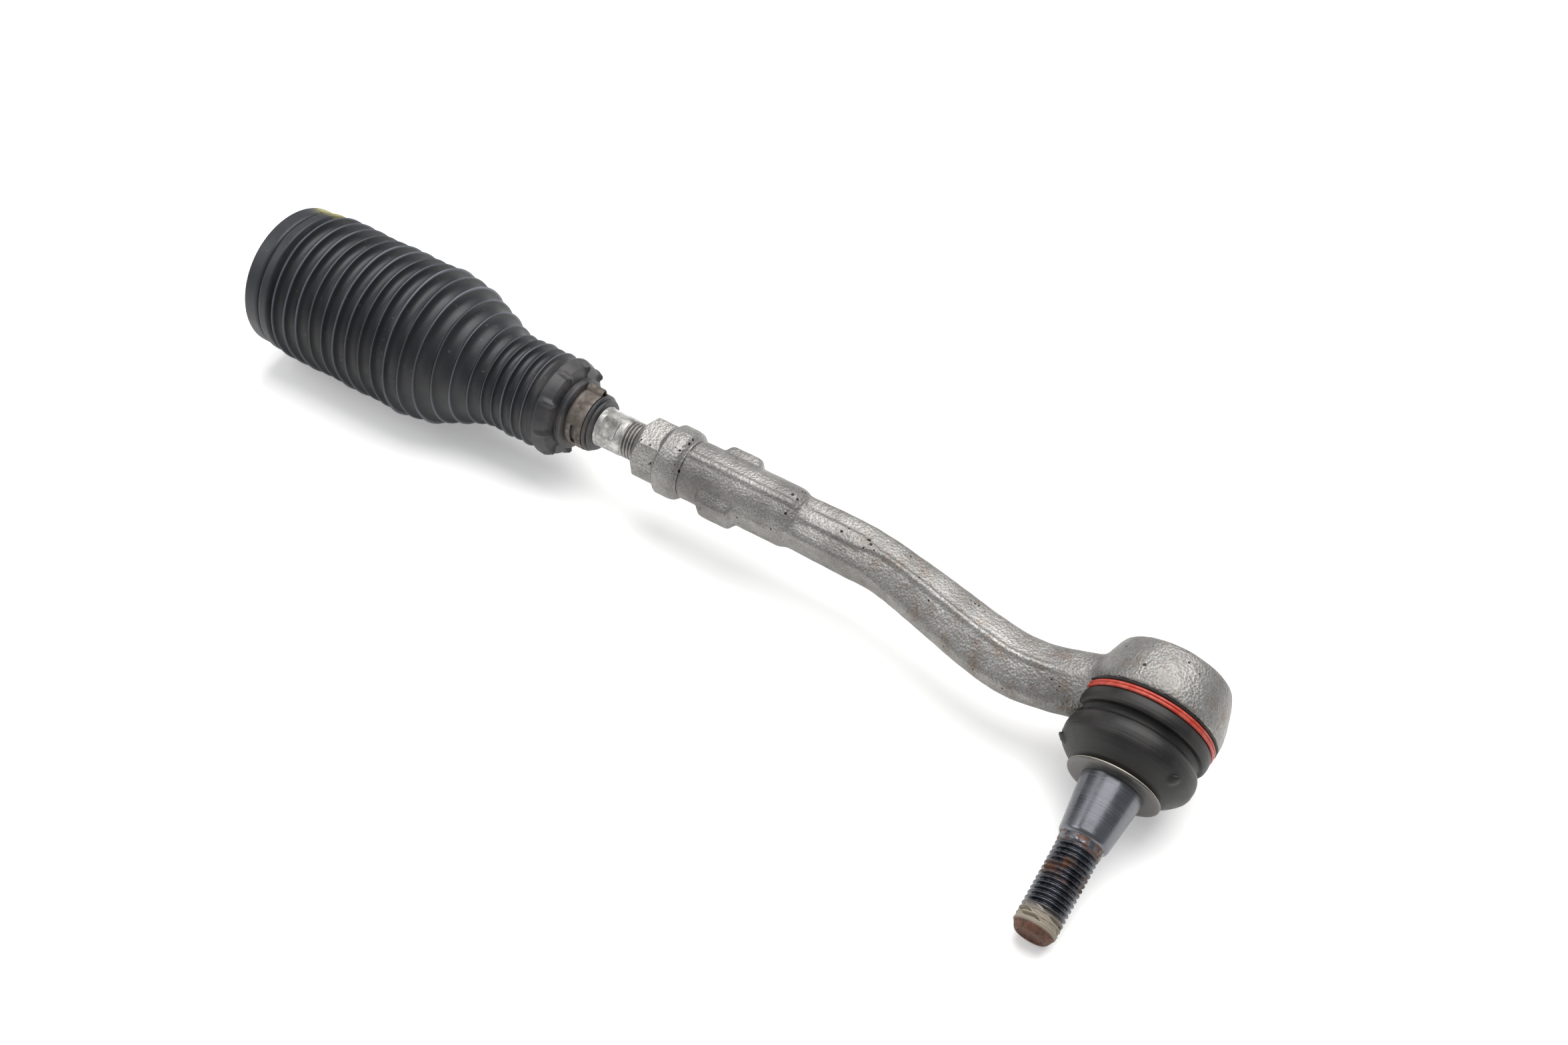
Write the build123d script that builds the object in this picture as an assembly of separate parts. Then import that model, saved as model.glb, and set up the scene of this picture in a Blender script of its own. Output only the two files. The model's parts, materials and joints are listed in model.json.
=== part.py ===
from build123d import *
import os
from math import asin, atan2, degrees, hypot, pi, radians, sin, sqrt, tan

# Complete steering tie rod: rack joint and bellows on the left, adjusting thread and lock nut
# in the middle, forged outer end with its ball joint on the right.
#
# Frame. The origin is the centre of the outer ball. The rod axis is X, and +X points from the
# rack towards the outer ball. The part is drawn as it lies on a bench: +Z is up, and the ball
# stud points towards -Y, tipped down by lie_angle, so that the bellows and the stud's thread
# touch the same flat surface. Everything is built with the stud along -Y and turned at the end.
# Lengths are millimetres. Places along the rod are x; places along the stud are s = -y. The rod
# line passes ROD_SET_BACK behind the ball centre.

# ---- driving dimensions -------------------------------------------------------------------

ROD_SET_BACK = 5.0          # rod axis to ball centre, away from the stud tip

# clearances
BALL_CLEARANCE = 0.05       # ball to plastic seat
SEAT_CLEARANCE = 0.05       # seat to its bore
THREAD_CLEARANCE = 0.05     # plain stand-in cylinders of the adjusting thread
NECK_CLEARANCE = 0.08       # bellows neck to rod groove, rod turns in it
FACE_GAP = 0.05             # two faces of different bodies that rest on each other
RUBBER_GAP = 0.30           # soft parts to what moves beside them

# outer ball stud
BALL_R = 13.0
STUD_NECK_R = 7.0
NECK_END_S = 23.0           # the straight neck ends here and flares to the taper
TAPER_START_S = 33.9
TAPER_LENGTH = 22.6
TAPER_BIG_R = 11.8
TAPER_SMALL_R = 9.2
STUD_THREAD_R = 8.0         # M16
SHANK_R = STUD_THREAD_R + 0.2               # short plain shank between taper and thread
SHANK_LENGTH = 3.0
STUD_THREAD_LENGTH = 31.6
STUD_TIP_R = STUD_THREAD_R - 2.0
STUD_TIP_LENGTH = 3.3

# thin disc pressed on the big end of the taper, and the ring in the boot's mouth
DISC_R = 17.8
DISC_THICKNESS = 1.1
MOUTH_RING_R = 13.2
MOUTH_RING_LENGTH = 2.4
MOUTH_RING_WALL = 1.6

# ball housing of the forging, a cup open towards the boot
HOUSING_BACK_S = -BALL_R - 4.0
HOUSING_BACK_R = BALL_R + 8.8
HOUSING_SKIRT_S = 1.6
HOUSING_SKIRT_R = BALL_R + 13.1
HOUSING_EDGE_S = 4.4
HOUSING_EDGE_R = BALL_R + 12.7
SPIGOT_R = BALL_R + 7.6     # neck that the boot's bead grips
SPIGOT_END_S = 11.1
RELIEF_R = BALL_R + 13.6    # turned recess in the arm round the boot's bead
HOUSING_BORE_R = BALL_R + 3.4
HOUSING_MOUTH_R = BALL_R - 0.2   # where the bore closes in front of the ball
MOUTH_FLARE_R = BALL_R + 3.0
SEAT_END_S = 7.1
SEAT_LIP_LENGTH = 2.5
CAP_R = BALL_R + 5.6
CAP_THICKNESS = 1.8
CAP_DEPTH = 1.3             # how far the cap sits inside the rolled edge
PRELOAD_RING_THICKNESS = 1.6

# dust boot
BEAD_R = SPIGOT_R + 4.7
BEAD_WALL_R = SPIGOT_R + 3.7          # under the clamp ring
BEAD_END_S = 13.1
GROOVE_R = SPIGOT_R + 0.6
GROOVE_S = 15.8
BULGE_R = SPIGOT_R + 4.2
BULGE_S = 21.0
BOOT_WALL = 1.8
BOOT_MOUTH_R = 13.6
CLAMP_RING_S = 6.4          # middle of the wound ring
CLAMP_WIRE_R = 0.75
CLAMP_WIRE_FLAT = 0.05      # the two turns press this far into each other

# arm, bowed towards the boot so that it clears the wheel rim
ARM_SECTIONS = (
    # distance to the ball, bow away from the rod line, half height along the stud, half width
    (158.0, 0.2, 10.0, 10.0),
    (132.0, 0.3, 10.2, 10.0),
    (114.0, 1.1, 10.3, 9.8),
    (98.0, 4.0, 11.0, 9.6),
    (82.0, 7.6, 11.6, 9.5),
    (66.0, 11.2, 12.1, 9.6),
    (50.0, 13.2, 12.4, 9.9),
    (34.0, 11.0, 12.0, 10.8),
    (17.0, 6.6, 11.6, 12.6),
)

# barrel of the forging
BARREL_END_X = -201.2
BARREL_SHOULDER_X = -154.4
BARREL_R = 12.3
BORE_BOTTOM_X = -163.0
LUG_X = -183.2              # middle of the two counter-hold lugs
LUG_LENGTH = 15.0
LUG_FLAT = 29.0             # across the two lugs' outer faces
LUG_WIDTH = 12.4            # width of each outer face
LUG_DRAFT = 24.0

# lock nut with a round collar
NUT_LENGTH = 23.0
NUT_COLLAR_R = 14.8
NUT_COLLAR_LENGTH = 12.4
NUT_FLATS = 25.0            # across flats
NUT_FACE_R = 12.5           # round seat against the barrel

# tie rod
ROD_THREAD_R = 8.0          # M16 x 1.5
ROD_R = ROD_THREAD_R + 0.2
ROD_THREAD_START_X = -231.4
ROD_THREAD_END_X = -172.0
ROD_FLAT_START_X = -242.0
ROD_FLAT_END_X = -234.0
ROD_FLATS = 14.0            # across the spanner flats
ROD_SEAT_R = ROD_R + 0.4    # raised land that the bellows neck grips
ROD_SEAT_START_X = -260.0
ROD_SEAT_END_X = -243.4
INNER_BALL_X = -380.0
INNER_BALL_R = 13.0
INNER_NECK_R = 7.4
INNER_NECK_LENGTH = 26.0

# inner joint
INNER_SEAT_R = INNER_BALL_R + 2.4
INNER_SEAT_FRONT = INNER_BALL_R - 4.8      # reaches this far past the ball centre towards the rod
INNER_SEAT_BACK = INNER_BALL_R + 1.6
INNER_HOUSING_R = INNER_BALL_R + 5.0
INNER_LIP_R = INNER_BALL_R - 0.4
INNER_LIP_LENGTH = 2.2
INNER_FLOOR = 5.0           # thickness of steel behind the spring
INNER_FLATS = 2 * INNER_BALL_R + 6.0
INNER_FLATS_LENGTH = 9.0
SPRING_THICKNESS = 1.4
SPRING_DISH = 1.2
RACK_THREAD_R = 8.0         # M16 x 1.5
RACK_THREAD_LENGTH = 15.0

# bellows, from the neck on the rod to the collar on the steering gear
NECK_END_X = -243.6         # lip on the rod
NECK_LIP_R = ROD_SEAT_R + 1.6
NECK_BAND_R = ROD_SEAT_R + 3.4   # under the clamp
NECK_BAND_END_X = -247.0
NECK_RING_R = ROD_SEAT_R + 6.0
NECK_RING_X = -256.4
SHOULDER_X = -266.0
SMALL_R = 21.2
LARGE_R = 33.6
SMALL_FOLDS = 5
TAPER_FOLDS = 6
LARGE_FOLDS = 9
SMALL_PITCH = 4.9
TAPER_PITCH = 7.0
LARGE_PITCH = 6.6
SMALL_DEPTH = 3.6
LARGE_DEPTH = 5.2
FOLD_WALL = 2.3             # measured square to the rod axis
COLLAR_R = LARGE_R - 2.6    # outer band, where the clamp to the steering gear sits
COLLAR_BAND_R = LARGE_R - 1.8   # inner band
COLLAR_BAND_LENGTH = 5.0
COLLAR_WALL = 2.2
COLLAR_LENGTH = 14.1
COLLAR_GROOVE = 1.3
CLAMP_WIDTH = 7.4
CLAMP_WALL = 0.8
CLAMP_EAR_HEIGHT = 4.4
CLAMP_EAR_WIDTH = 5.0


# ---- helpers ------------------------------------------------------------------------------

def lie_angle():
    """Dip of the stud, in degrees, when the large folds and the stud's thread touch one plane."""
    reach = THREAD_END_S + ROD_SET_BACK
    return degrees(asin(LARGE_R / hypot(reach, STUD_THREAD_R)) - atan2(STUD_THREAD_R, reach))


def on_rod_line(shape):
    """Move a piece built round the X axis back to the rod line."""
    return Pos(0, ROD_SET_BACK, 0) * shape


def turned_on_rod(points):
    """Solid of revolution about the rod axis from (x, radius) corners."""
    outline = Polyline(*[(x, r) for x, r in points], close=True)
    return revolve(make_face(outline), Axis.X)


def turned_on_stud(points):
    """Solid of revolution about the stud axis from (s, radius) corners."""
    outline = Polyline(*[(r, -s) for s, r in points], close=True)
    return revolve(make_face(outline), Axis.Y)


def ball(centre_x, radius):
    """Solid sphere on the rod axis."""
    return Pos(centre_x, 0, 0) * Sphere(radius)


def tube_on_rod(x_low, x_high, outer_r, inner_r):
    """Straight tube along the rod axis."""
    return turned_on_rod([(x_low, inner_r), (x_high, inner_r), (x_high, outer_r), (x_low, outer_r)])


def bar_with_flats(x_low, x_high, across, reach):
    """What is left outside two parallel flats between x_low and x_high."""
    length = x_high - x_low
    middle = (x_low + x_high) / 2
    waste = Box(length, 2 * reach, reach)
    upper = Pos(middle, 0, across / 2 + reach / 2) * waste
    lower = Pos(middle, 0, -across / 2 - reach / 2) * waste
    return upper + lower


# ---- outer ball joint ---------------------------------------------------------------------

TAPER_END_S = TAPER_START_S + TAPER_LENGTH
THREAD_START_S = TAPER_END_S + SHANK_LENGTH
THREAD_END_S = THREAD_START_S + STUD_THREAD_LENGTH
STUD_END_S = THREAD_END_S + STUD_TIP_LENGTH
DISC_START_S = TAPER_START_S - DISC_THICKNESS


def make_ball_stud():
    """Forged stud: ball, neck, taper, shank, thread at its major diameter, chamfered tip."""
    neck_start = sqrt(BALL_R ** 2 - STUD_NECK_R ** 2) - 1.0
    shank = turned_on_stud([
        (neck_start, 0),
        (neck_start, STUD_NECK_R),
        (NECK_END_S, STUD_NECK_R),
        (DISC_START_S - MOUTH_RING_LENGTH, TAPER_BIG_R - 2.4),
        (DISC_START_S, TAPER_BIG_R - 1.0),
        (TAPER_START_S, TAPER_BIG_R - 1.0),
        (TAPER_START_S, TAPER_BIG_R),
        (TAPER_END_S - 0.8, TAPER_SMALL_R + 0.1),
        (TAPER_END_S, TAPER_SMALL_R - 0.8),
        (TAPER_END_S, SHANK_R),
        (THREAD_START_S - 0.4, SHANK_R),
        (THREAD_START_S, STUD_THREAD_R),
        (THREAD_END_S, STUD_THREAD_R),
        (STUD_END_S - 1.0, STUD_TIP_R + 0.6),
        (STUD_END_S, STUD_TIP_R - 0.4),
        (STUD_END_S, 0),
    ])
    return Sphere(BALL_R) + shank


def make_disc():
    """Thin pressed disc that closes the boot's mouth against the taper."""
    inner = TAPER_BIG_R - 1.0
    return turned_on_stud([
        (DISC_START_S, inner),
        (DISC_START_S, DISC_R - 0.5),
        (DISC_START_S + 0.3, DISC_R),
        (TAPER_START_S - 0.2, DISC_R),
        (TAPER_START_S, DISC_R - 0.4),
        (TAPER_START_S, inner),
    ])


def make_mouth_ring():
    """Steel ring that holds the boot's mouth round the stud; the stud turns inside it."""
    end = DISC_START_S - RUBBER_GAP
    start = end - MOUTH_RING_LENGTH
    inner = MOUTH_RING_R - MOUTH_RING_WALL
    return turned_on_stud([(start, inner), (start, MOUTH_RING_R), (end, MOUTH_RING_R), (end, inner)])


def make_ball_seat():
    """Plastic cup round the ball, open towards the boot and closed over the back of the ball."""
    back = HOUSING_BACK_S + CAP_DEPTH + CAP_THICKNESS + PRELOAD_RING_THICKNESS
    radius = HOUSING_BORE_R - SEAT_CLEARANCE
    blank = turned_on_stud([
        (back, 0),
        (back, radius),
        (SEAT_END_S, radius),
        (SEAT_END_S, 0),
    ])
    ball_r = BALL_R + BALL_CLEARANCE
    mouth_s = SEAT_END_S - SEAT_LIP_LENGTH
    mouth_r = sqrt(ball_r ** 2 - mouth_s ** 2)
    flare = turned_on_stud([
        (mouth_s - 1.0, 0),
        (mouth_s - 1.0, mouth_r - 0.4),
        (mouth_s, mouth_r),
        (SEAT_END_S + 1.0, mouth_r + 1.6),
        (SEAT_END_S + 1.0, 0),
    ])
    return blank - Sphere(ball_r) - flare


def make_preload_ring():
    """Elastic ring between the cap and the seat; it takes up wear."""
    back = HOUSING_BACK_S + CAP_DEPTH + CAP_THICKNESS
    front = back + PRELOAD_RING_THICKNESS
    outer = HOUSING_BORE_R - SEAT_CLEARANCE
    return turned_on_stud([(back, 9.0), (back, outer), (front, outer), (front, 9.0)])


def make_end_cap():
    """Pressed steel cap, dished in the middle, held by the rolled edge of the housing."""
    back = HOUSING_BACK_S + CAP_DEPTH
    front = back + CAP_THICKNESS
    return turned_on_stud([
        (back + 0.9, 0),
        (back + 0.9, 7.0),
        (back, 10.0),
        (back, CAP_R),
        (front, CAP_R),
        (front, 0),
    ])


def make_clamp_ring():
    """Two turns of coated spring wire that clamp the boot's bead on the housing."""
    ring = None
    for turn in (-1, 1):
        place = CLAMP_RING_S + turn * (CLAMP_WIRE_R - CLAMP_WIRE_FLAT)
        wire = Pos(0, -place, 0) * Rot(90, 0, 0) * Torus(BEAD_WALL_R + CLAMP_WIRE_R, CLAMP_WIRE_R)
        ring = wire if ring is None else ring + wire
    return ring


def make_dust_boot():
    """Moulded rubber boot: bead on the spigot, one deep fold, mouth round the stud."""
    start = HOUSING_EDGE_S + 0.1
    grip = SPIGOT_R
    end = DISC_START_S - RUBBER_GAP
    groove_inner = GROOVE_R - BOOT_WALL
    outside = Polyline(
        (grip, -start),
        (BEAD_R - 0.5, -start),
        (BEAD_WALL_R, -(CLAMP_RING_S - 2 * CLAMP_WIRE_R)),
        (BEAD_WALL_R, -(CLAMP_RING_S + 2 * CLAMP_WIRE_R)),
        (BEAD_R, -(CLAMP_RING_S + 2 * CLAMP_WIRE_R + 0.8)),
        (BEAD_R, -(BEAD_END_S - 0.8)),
        (BEAD_R - 1.0, -BEAD_END_S),
        (GROOVE_R, -GROOVE_S),
    )
    upper_bulge = ThreePointArc(
        (GROOVE_R, -GROOVE_S),
        (BULGE_R - 0.8, -(BULGE_S - 3.0)),
        (BULGE_R, -BULGE_S),
    )
    lower_bulge = ThreePointArc(
        (BULGE_R, -BULGE_S),
        (BULGE_R - 1.6, -(BULGE_S + 4.2)),
        (BOOT_MOUTH_R + 4.4, -(end - 1.6)),
    )
    mouth = Polyline(
        (BOOT_MOUTH_R + 4.4, -(end - 1.6)),
        (BOOT_MOUTH_R + 2.6, -end),
        (MOUTH_RING_R + 0.1, -end),
        (MOUTH_RING_R + 0.1, -(end - MOUTH_RING_LENGTH - 1.0)),
        (BULGE_R - BOOT_WALL - 3.6, -(BULGE_S + 3.4)),
    )
    inner_bulge = ThreePointArc(
        (BULGE_R - BOOT_WALL - 3.6, -(BULGE_S + 3.4)),
        (BULGE_R - BOOT_WALL - 0.6, -BULGE_S),
        (groove_inner, -(GROOVE_S + 0.4)),
    )
    inside = Polyline(
        (groove_inner, -(GROOVE_S + 0.4)),
        (groove_inner, -(SPIGOT_END_S + 0.4)),
        (grip, -(SPIGOT_END_S + 0.4)),
        (grip, -start),
    )
    face = make_face([outside, upper_bulge, lower_bulge, mouth, inner_bulge, inside])
    return revolve(face, Axis.Y)


# ---- forging ------------------------------------------------------------------------------

def make_housing():
    """Round cup of the ball joint, before its bore is cut."""
    return turned_on_stud([
        (HOUSING_BACK_S + 0.1, 0),
        (HOUSING_BACK_S, HOUSING_BACK_R - 1.6),
        (HOUSING_BACK_S + 0.7, HOUSING_BACK_R - 0.4),
        (HOUSING_BACK_S + 2.2, HOUSING_BACK_R + 0.5),
        (HOUSING_SKIRT_S - 1.5, HOUSING_SKIRT_R - 0.3),
        (HOUSING_SKIRT_S, HOUSING_SKIRT_R),
        (HOUSING_EDGE_S, HOUSING_EDGE_R),
        (HOUSING_EDGE_S, SPIGOT_R - 0.05),
        (SPIGOT_END_S, SPIGOT_R - 0.05),
        (SPIGOT_END_S, 0),
    ])


def make_housing_bore():
    """Bore for the seat, the seat of the cap, and the flared mouth for the stud's swing."""
    cap_seat = HOUSING_BACK_S + CAP_DEPTH
    cap_front = cap_seat + CAP_THICKNESS
    return turned_on_stud([
        (HOUSING_BACK_S - 1.0, 0),
        (HOUSING_BACK_S - 1.0, CAP_R - 1.2),
        (cap_seat, CAP_R - 1.2),
        (cap_seat, CAP_R),
        (cap_front, CAP_R),
        (cap_front, HOUSING_BORE_R),
        (SEAT_END_S, HOUSING_BORE_R),
        (SEAT_END_S, HOUSING_MOUTH_R),
        (SPIGOT_END_S + 1.0, MOUTH_FLARE_R),
        (SPIGOT_END_S + 1.0, 0),
    ])


def make_arm():
    """Oval arm, lofted through sections square to its own curved line."""
    count = len(ARM_SECTIONS)
    sections = []
    for index in range(count):
        reach, bow, half_height, half_width = ARM_SECTIONS[index]
        before = ARM_SECTIONS[max(index - 1, 0)]
        after = ARM_SECTIONS[min(index + 1, count - 1)]
        slope = (after[1] - before[1]) / (before[0] - after[0])
        heading = Vector(1, -slope, 0).normalized()
        centre = (-reach, ROD_SET_BACK - bow, 0)
        plane = Plane(origin=centre, x_dir=Vector(0, 0, 1), z_dir=heading)
        sections.append(plane * Ellipse(half_width, half_height))
    recess = turned_on_stud([
        (HOUSING_EDGE_S, 0),
        (HOUSING_EDGE_S, RELIEF_R),
        (BULGE_S + RELIEF_R, RELIEF_R),
        (BULGE_S + RELIEF_R, 0),
    ])
    return loft(sections) - recess


def make_lug(side):
    """Counter-hold lug: a tapered pad on one side of the barrel."""
    base_s = 6.0
    height = LUG_FLAT / 2 - base_s
    spread = 2 * height * tan(radians(LUG_DRAFT))
    plane = Plane(origin=(LUG_X, -side * base_s, 0), x_dir=(1, 0, 0), z_dir=(0, -side, 0))
    base = plane * Rectangle(LUG_LENGTH + spread * 0.5, LUG_WIDTH + spread)
    top_plane = Plane(origin=(LUG_X, -side * LUG_FLAT / 2, 0), x_dir=(1, 0, 0), z_dir=(0, -side, 0))
    top = top_plane * Rectangle(LUG_LENGTH - spread * 0.2, LUG_WIDTH)
    return loft([base, top])


def make_forging():
    """Outer end: threaded barrel with two lugs, bowed arm and ball housing in one piece."""
    barrel = turned_on_rod([
        (BARREL_END_X, 0),
        (BARREL_END_X, BARREL_R - 0.5),
        (BARREL_END_X + 0.5, BARREL_R),
        (BARREL_SHOULDER_X - 1.6, BARREL_R),
        (BARREL_SHOULDER_X, BARREL_R - 0.9),
        (BARREL_SHOULDER_X + 2.6, BARREL_R - 2.6),
        (BARREL_SHOULDER_X + 2.6, 0),
    ])
    barrel = on_rod_line(barrel + make_lug(1) + make_lug(-1))
    forging = barrel + make_arm() + make_housing()
    forging -= make_housing_bore()
    bore_r = ROD_THREAD_R + THREAD_CLEARANCE
    drill_cone = bore_r * 0.6
    bore = turned_on_rod([
        (BARREL_END_X - 1.0, 0),
        (BARREL_END_X - 1.0, bore_r),
        (BORE_BOTTOM_X, bore_r),
        (BORE_BOTTOM_X + drill_cone, 0),
    ])
    return forging - on_rod_line(bore)


# ---- adjusting thread ---------------------------------------------------------------------

def make_jam_nut():
    """Lock nut: hexagon that runs out into a round collar seated on the barrel."""
    right = BARREL_END_X - FACE_GAP
    left = right - NUT_LENGTH
    collar_left = right - NUT_COLLAR_LENGTH
    bore_r = ROD_THREAD_R + THREAD_CLEARANCE
    round_blank = turned_on_rod([
        (left, bore_r),
        (left, bore_r + 0.9),
        (left + 2.6, 11.4),
        (left + 5.2, 13.9),
        (collar_left, NUT_COLLAR_R - 0.3),
        (collar_left + 2.0, NUT_COLLAR_R),
        (collar_left + 3.6, NUT_COLLAR_R),
        (right - 3.6, NUT_COLLAR_R - 0.8),
        (right, NUT_FACE_R),
        (right, bore_r),
    ])
    side = NUT_FLATS / sqrt(3)
    hexagon = Plane.YZ * RegularPolygon(side, 6, major_radius=True)
    prism = Pos(left, 0, 0) * extrude(hexagon, NUT_LENGTH - NUT_COLLAR_LENGTH + 1.6)
    collar = tube_on_rod(collar_left, right, NUT_COLLAR_R + 1.0, 0)
    return round_blank & (prism + collar)


def make_tie_rod():
    """Steel rod with the inner ball, the bellows land, spanner flats and the long thread."""
    ball_edge = INNER_BALL_X + sqrt(INNER_BALL_R ** 2 - INNER_NECK_R ** 2) - 1.0
    shank = turned_on_rod([
        (ball_edge, 0),
        (ball_edge, INNER_NECK_R),
        (INNER_BALL_X + INNER_NECK_LENGTH, INNER_NECK_R),
        (INNER_BALL_X + INNER_NECK_LENGTH + 3.0, ROD_R),
        (ROD_SEAT_START_X - 0.5, ROD_R),
        (ROD_SEAT_START_X, ROD_SEAT_R),
        (ROD_SEAT_END_X, ROD_SEAT_R),
        (ROD_SEAT_END_X + 0.5, ROD_R),
        (ROD_THREAD_START_X - 0.5, ROD_R),
        (ROD_THREAD_START_X, ROD_THREAD_R),
        (ROD_THREAD_END_X - 1.5, ROD_THREAD_R),
        (ROD_THREAD_END_X, ROD_THREAD_R - 1.5),
        (ROD_THREAD_END_X, 0),
    ])
    shank -= bar_with_flats(ROD_FLAT_START_X, ROD_FLAT_END_X, ROD_FLATS, 10.0)
    return ball(INNER_BALL_X, INNER_BALL_R) + shank


# ---- inner joint --------------------------------------------------------------------------

def make_inner_seat():
    """Plastic liner between the rod's ball and the inner housing."""
    back = INNER_BALL_X - INNER_SEAT_BACK
    front = INNER_BALL_X + INNER_SEAT_FRONT
    ball_r = INNER_BALL_R + BALL_CLEARANCE
    mouth_r = sqrt(ball_r ** 2 - (INNER_SEAT_FRONT - 1.6) ** 2)
    blank = turned_on_rod([(back, 0), (back, INNER_SEAT_R), (front, INNER_SEAT_R), (front, 0)])
    flare = turned_on_rod([
        (front - 2.6, 0),
        (front - 2.6, mouth_r - 0.5),
        (front - 1.6, mouth_r),
        (front + 1.0, mouth_r + 1.2),
        (front + 1.0, 0),
    ])
    return blank - ball(INNER_BALL_X, ball_r) - flare


INNER_SPRING_X = INNER_BALL_X - INNER_SEAT_BACK - FACE_GAP
INNER_CAVITY_X = INNER_SPRING_X - SPRING_THICKNESS - SPRING_DISH - FACE_GAP
INNER_END_X = INNER_CAVITY_X - INNER_FLOOR


def make_inner_spring():
    """Dished spring washer that pushes the liner onto the ball."""
    rise = SPRING_DISH
    return turned_on_rod([
        (INNER_SPRING_X - rise - SPRING_THICKNESS, 13.6),
        (INNER_SPRING_X - rise, 13.6),
        (INNER_SPRING_X, 6.0),
        (INNER_SPRING_X - SPRING_THICKNESS, 6.0),
    ])


def make_inner_housing():
    """Steel cup rolled over the liner, with spanner flats and the thread into the rack."""
    seat_r = INNER_SEAT_R + SEAT_CLEARANCE
    front = INNER_BALL_X + INNER_SEAT_FRONT + FACE_GAP
    mouth = front + INNER_LIP_LENGTH
    thread_end = INNER_END_X - RACK_THREAD_LENGTH
    cup = turned_on_rod([
        (INNER_CAVITY_X, 0),
        (INNER_CAVITY_X, seat_r),
        (front, seat_r),
        (front, INNER_LIP_R),
        (mouth, INNER_LIP_R + 0.8),
        (mouth, INNER_HOUSING_R - 2.6),
        (mouth - 2.4, INNER_HOUSING_R),
        (INNER_END_X + 1.6, INNER_HOUSING_R),
        (INNER_END_X, INNER_HOUSING_R - 1.8),
        (INNER_END_X, RACK_THREAD_R),
        (thread_end + 1.4, RACK_THREAD_R),
        (thread_end, RACK_THREAD_R - 1.4),
        (thread_end, 0),
    ])
    cut_start = INNER_END_X - 0.5
    return cup - bar_with_flats(cut_start, INNER_END_X + INNER_FLATS_LENGTH, INNER_FLATS, 12.0)


# ---- bellows ------------------------------------------------------------------------------

def fold_tops():
    """Place, radius and depth of each ridge, from the small end to the large end."""
    tops = []
    x = SHOULDER_X - SMALL_PITCH
    for _ in range(SMALL_FOLDS):
        tops.append((x, SMALL_R, SMALL_DEPTH))
        x -= SMALL_PITCH
    x -= (TAPER_PITCH - SMALL_PITCH) / 2
    for index in range(TAPER_FOLDS):
        share = (index + 1) / TAPER_FOLDS
        swell = sin(share * pi / 2) ** 1.5
        radius = SMALL_R + (LARGE_R - SMALL_R) * swell
        tops.append((x, radius, SMALL_DEPTH + (LARGE_DEPTH - SMALL_DEPTH) * share))
        x -= TAPER_PITCH
    x += (TAPER_PITCH - LARGE_PITCH) / 2
    for _ in range(LARGE_FOLDS):
        tops.append((x, LARGE_R, LARGE_DEPTH))
        x -= LARGE_PITCH
    return tops


FOLD_TOPS = fold_tops()
FOLDS_END_X = FOLD_TOPS[-1][0] - LARGE_PITCH / 2
COLLAR_END_X = FOLDS_END_X - COLLAR_LENGTH


def fold_outline(lift):
    """Corners of the folded wall: a narrow ridge and a valley for each fold, raised by lift."""
    corners = []
    count = len(FOLD_TOPS)
    for index in range(count):
        x, radius, depth = FOLD_TOPS[index]
        following = FOLD_TOPS[index + 1] if index + 1 < count else (2 * FOLDS_END_X - x, radius, depth)
        half_ridge = 0.5
        corners.append((x + half_ridge, radius + lift))
        corners.append((x - half_ridge, radius + lift))
        if index + 1 < count:
            valley_r = min(radius - depth, following[1] - following[2])
            middle = (x + following[0]) / 2
            half_valley = abs(x - following[0]) * 0.16
            corners.append((middle + half_valley, valley_r + lift))
            corners.append((middle - half_valley, valley_r + lift))
    return corners


def make_bellows_folds():
    """Folded wall of the bellows, from the shoulder to the last valley."""
    start_r = SMALL_R - SMALL_DEPTH
    end_r = LARGE_R - LARGE_DEPTH
    outer = [(SHOULDER_X, start_r)] + fold_outline(0.0) + [(FOLDS_END_X, end_r)]
    inner = [(SHOULDER_X, start_r - FOLD_WALL)] + fold_outline(-FOLD_WALL)
    inner += [(FOLDS_END_X, end_r - FOLD_WALL)]
    return turned_on_rod(outer + inner[::-1])


def make_bellows_neck():
    """Small end: domed shoulder, raised ring, clamp land and lip on the rod."""
    bore = ROD_SEAT_R + NECK_CLEARANCE
    start_r = SMALL_R - SMALL_DEPTH
    shell = turned_on_rod([
        (NECK_END_X, bore),
        (NECK_END_X, NECK_LIP_R - 0.9),
        (NECK_END_X - 1.2, NECK_LIP_R - 0.4),
        (NECK_END_X - 2.0, NECK_LIP_R - 0.6),
        (NECK_END_X - 3.2, NECK_LIP_R + 1.0),
        (NECK_BAND_END_X + 0.5, NECK_LIP_R + 1.6),
        (NECK_BAND_END_X, NECK_BAND_R),
        (NECK_BAND_END_X - CLAMP_WIDTH - 0.4, NECK_BAND_R),
        (NECK_RING_X + 1.2, NECK_RING_R - 0.6),
        (NECK_RING_X, NECK_RING_R),
        (NECK_RING_X - 1.2, NECK_RING_R),
        (SHOULDER_X + 6.6, NECK_RING_R + 2.4),
        (SHOULDER_X + 3.6, SMALL_R - 1.2),
        (SHOULDER_X + 1.6, SMALL_R - 0.3),
        (SHOULDER_X, start_r),
        (SHOULDER_X, start_r - FOLD_WALL),
        (SHOULDER_X + 3.0, NECK_RING_R),
        (NECK_RING_X - 2.0, NECK_RING_R - 2.4),
        (NECK_RING_X, bore),
    ])
    return shell


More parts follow.
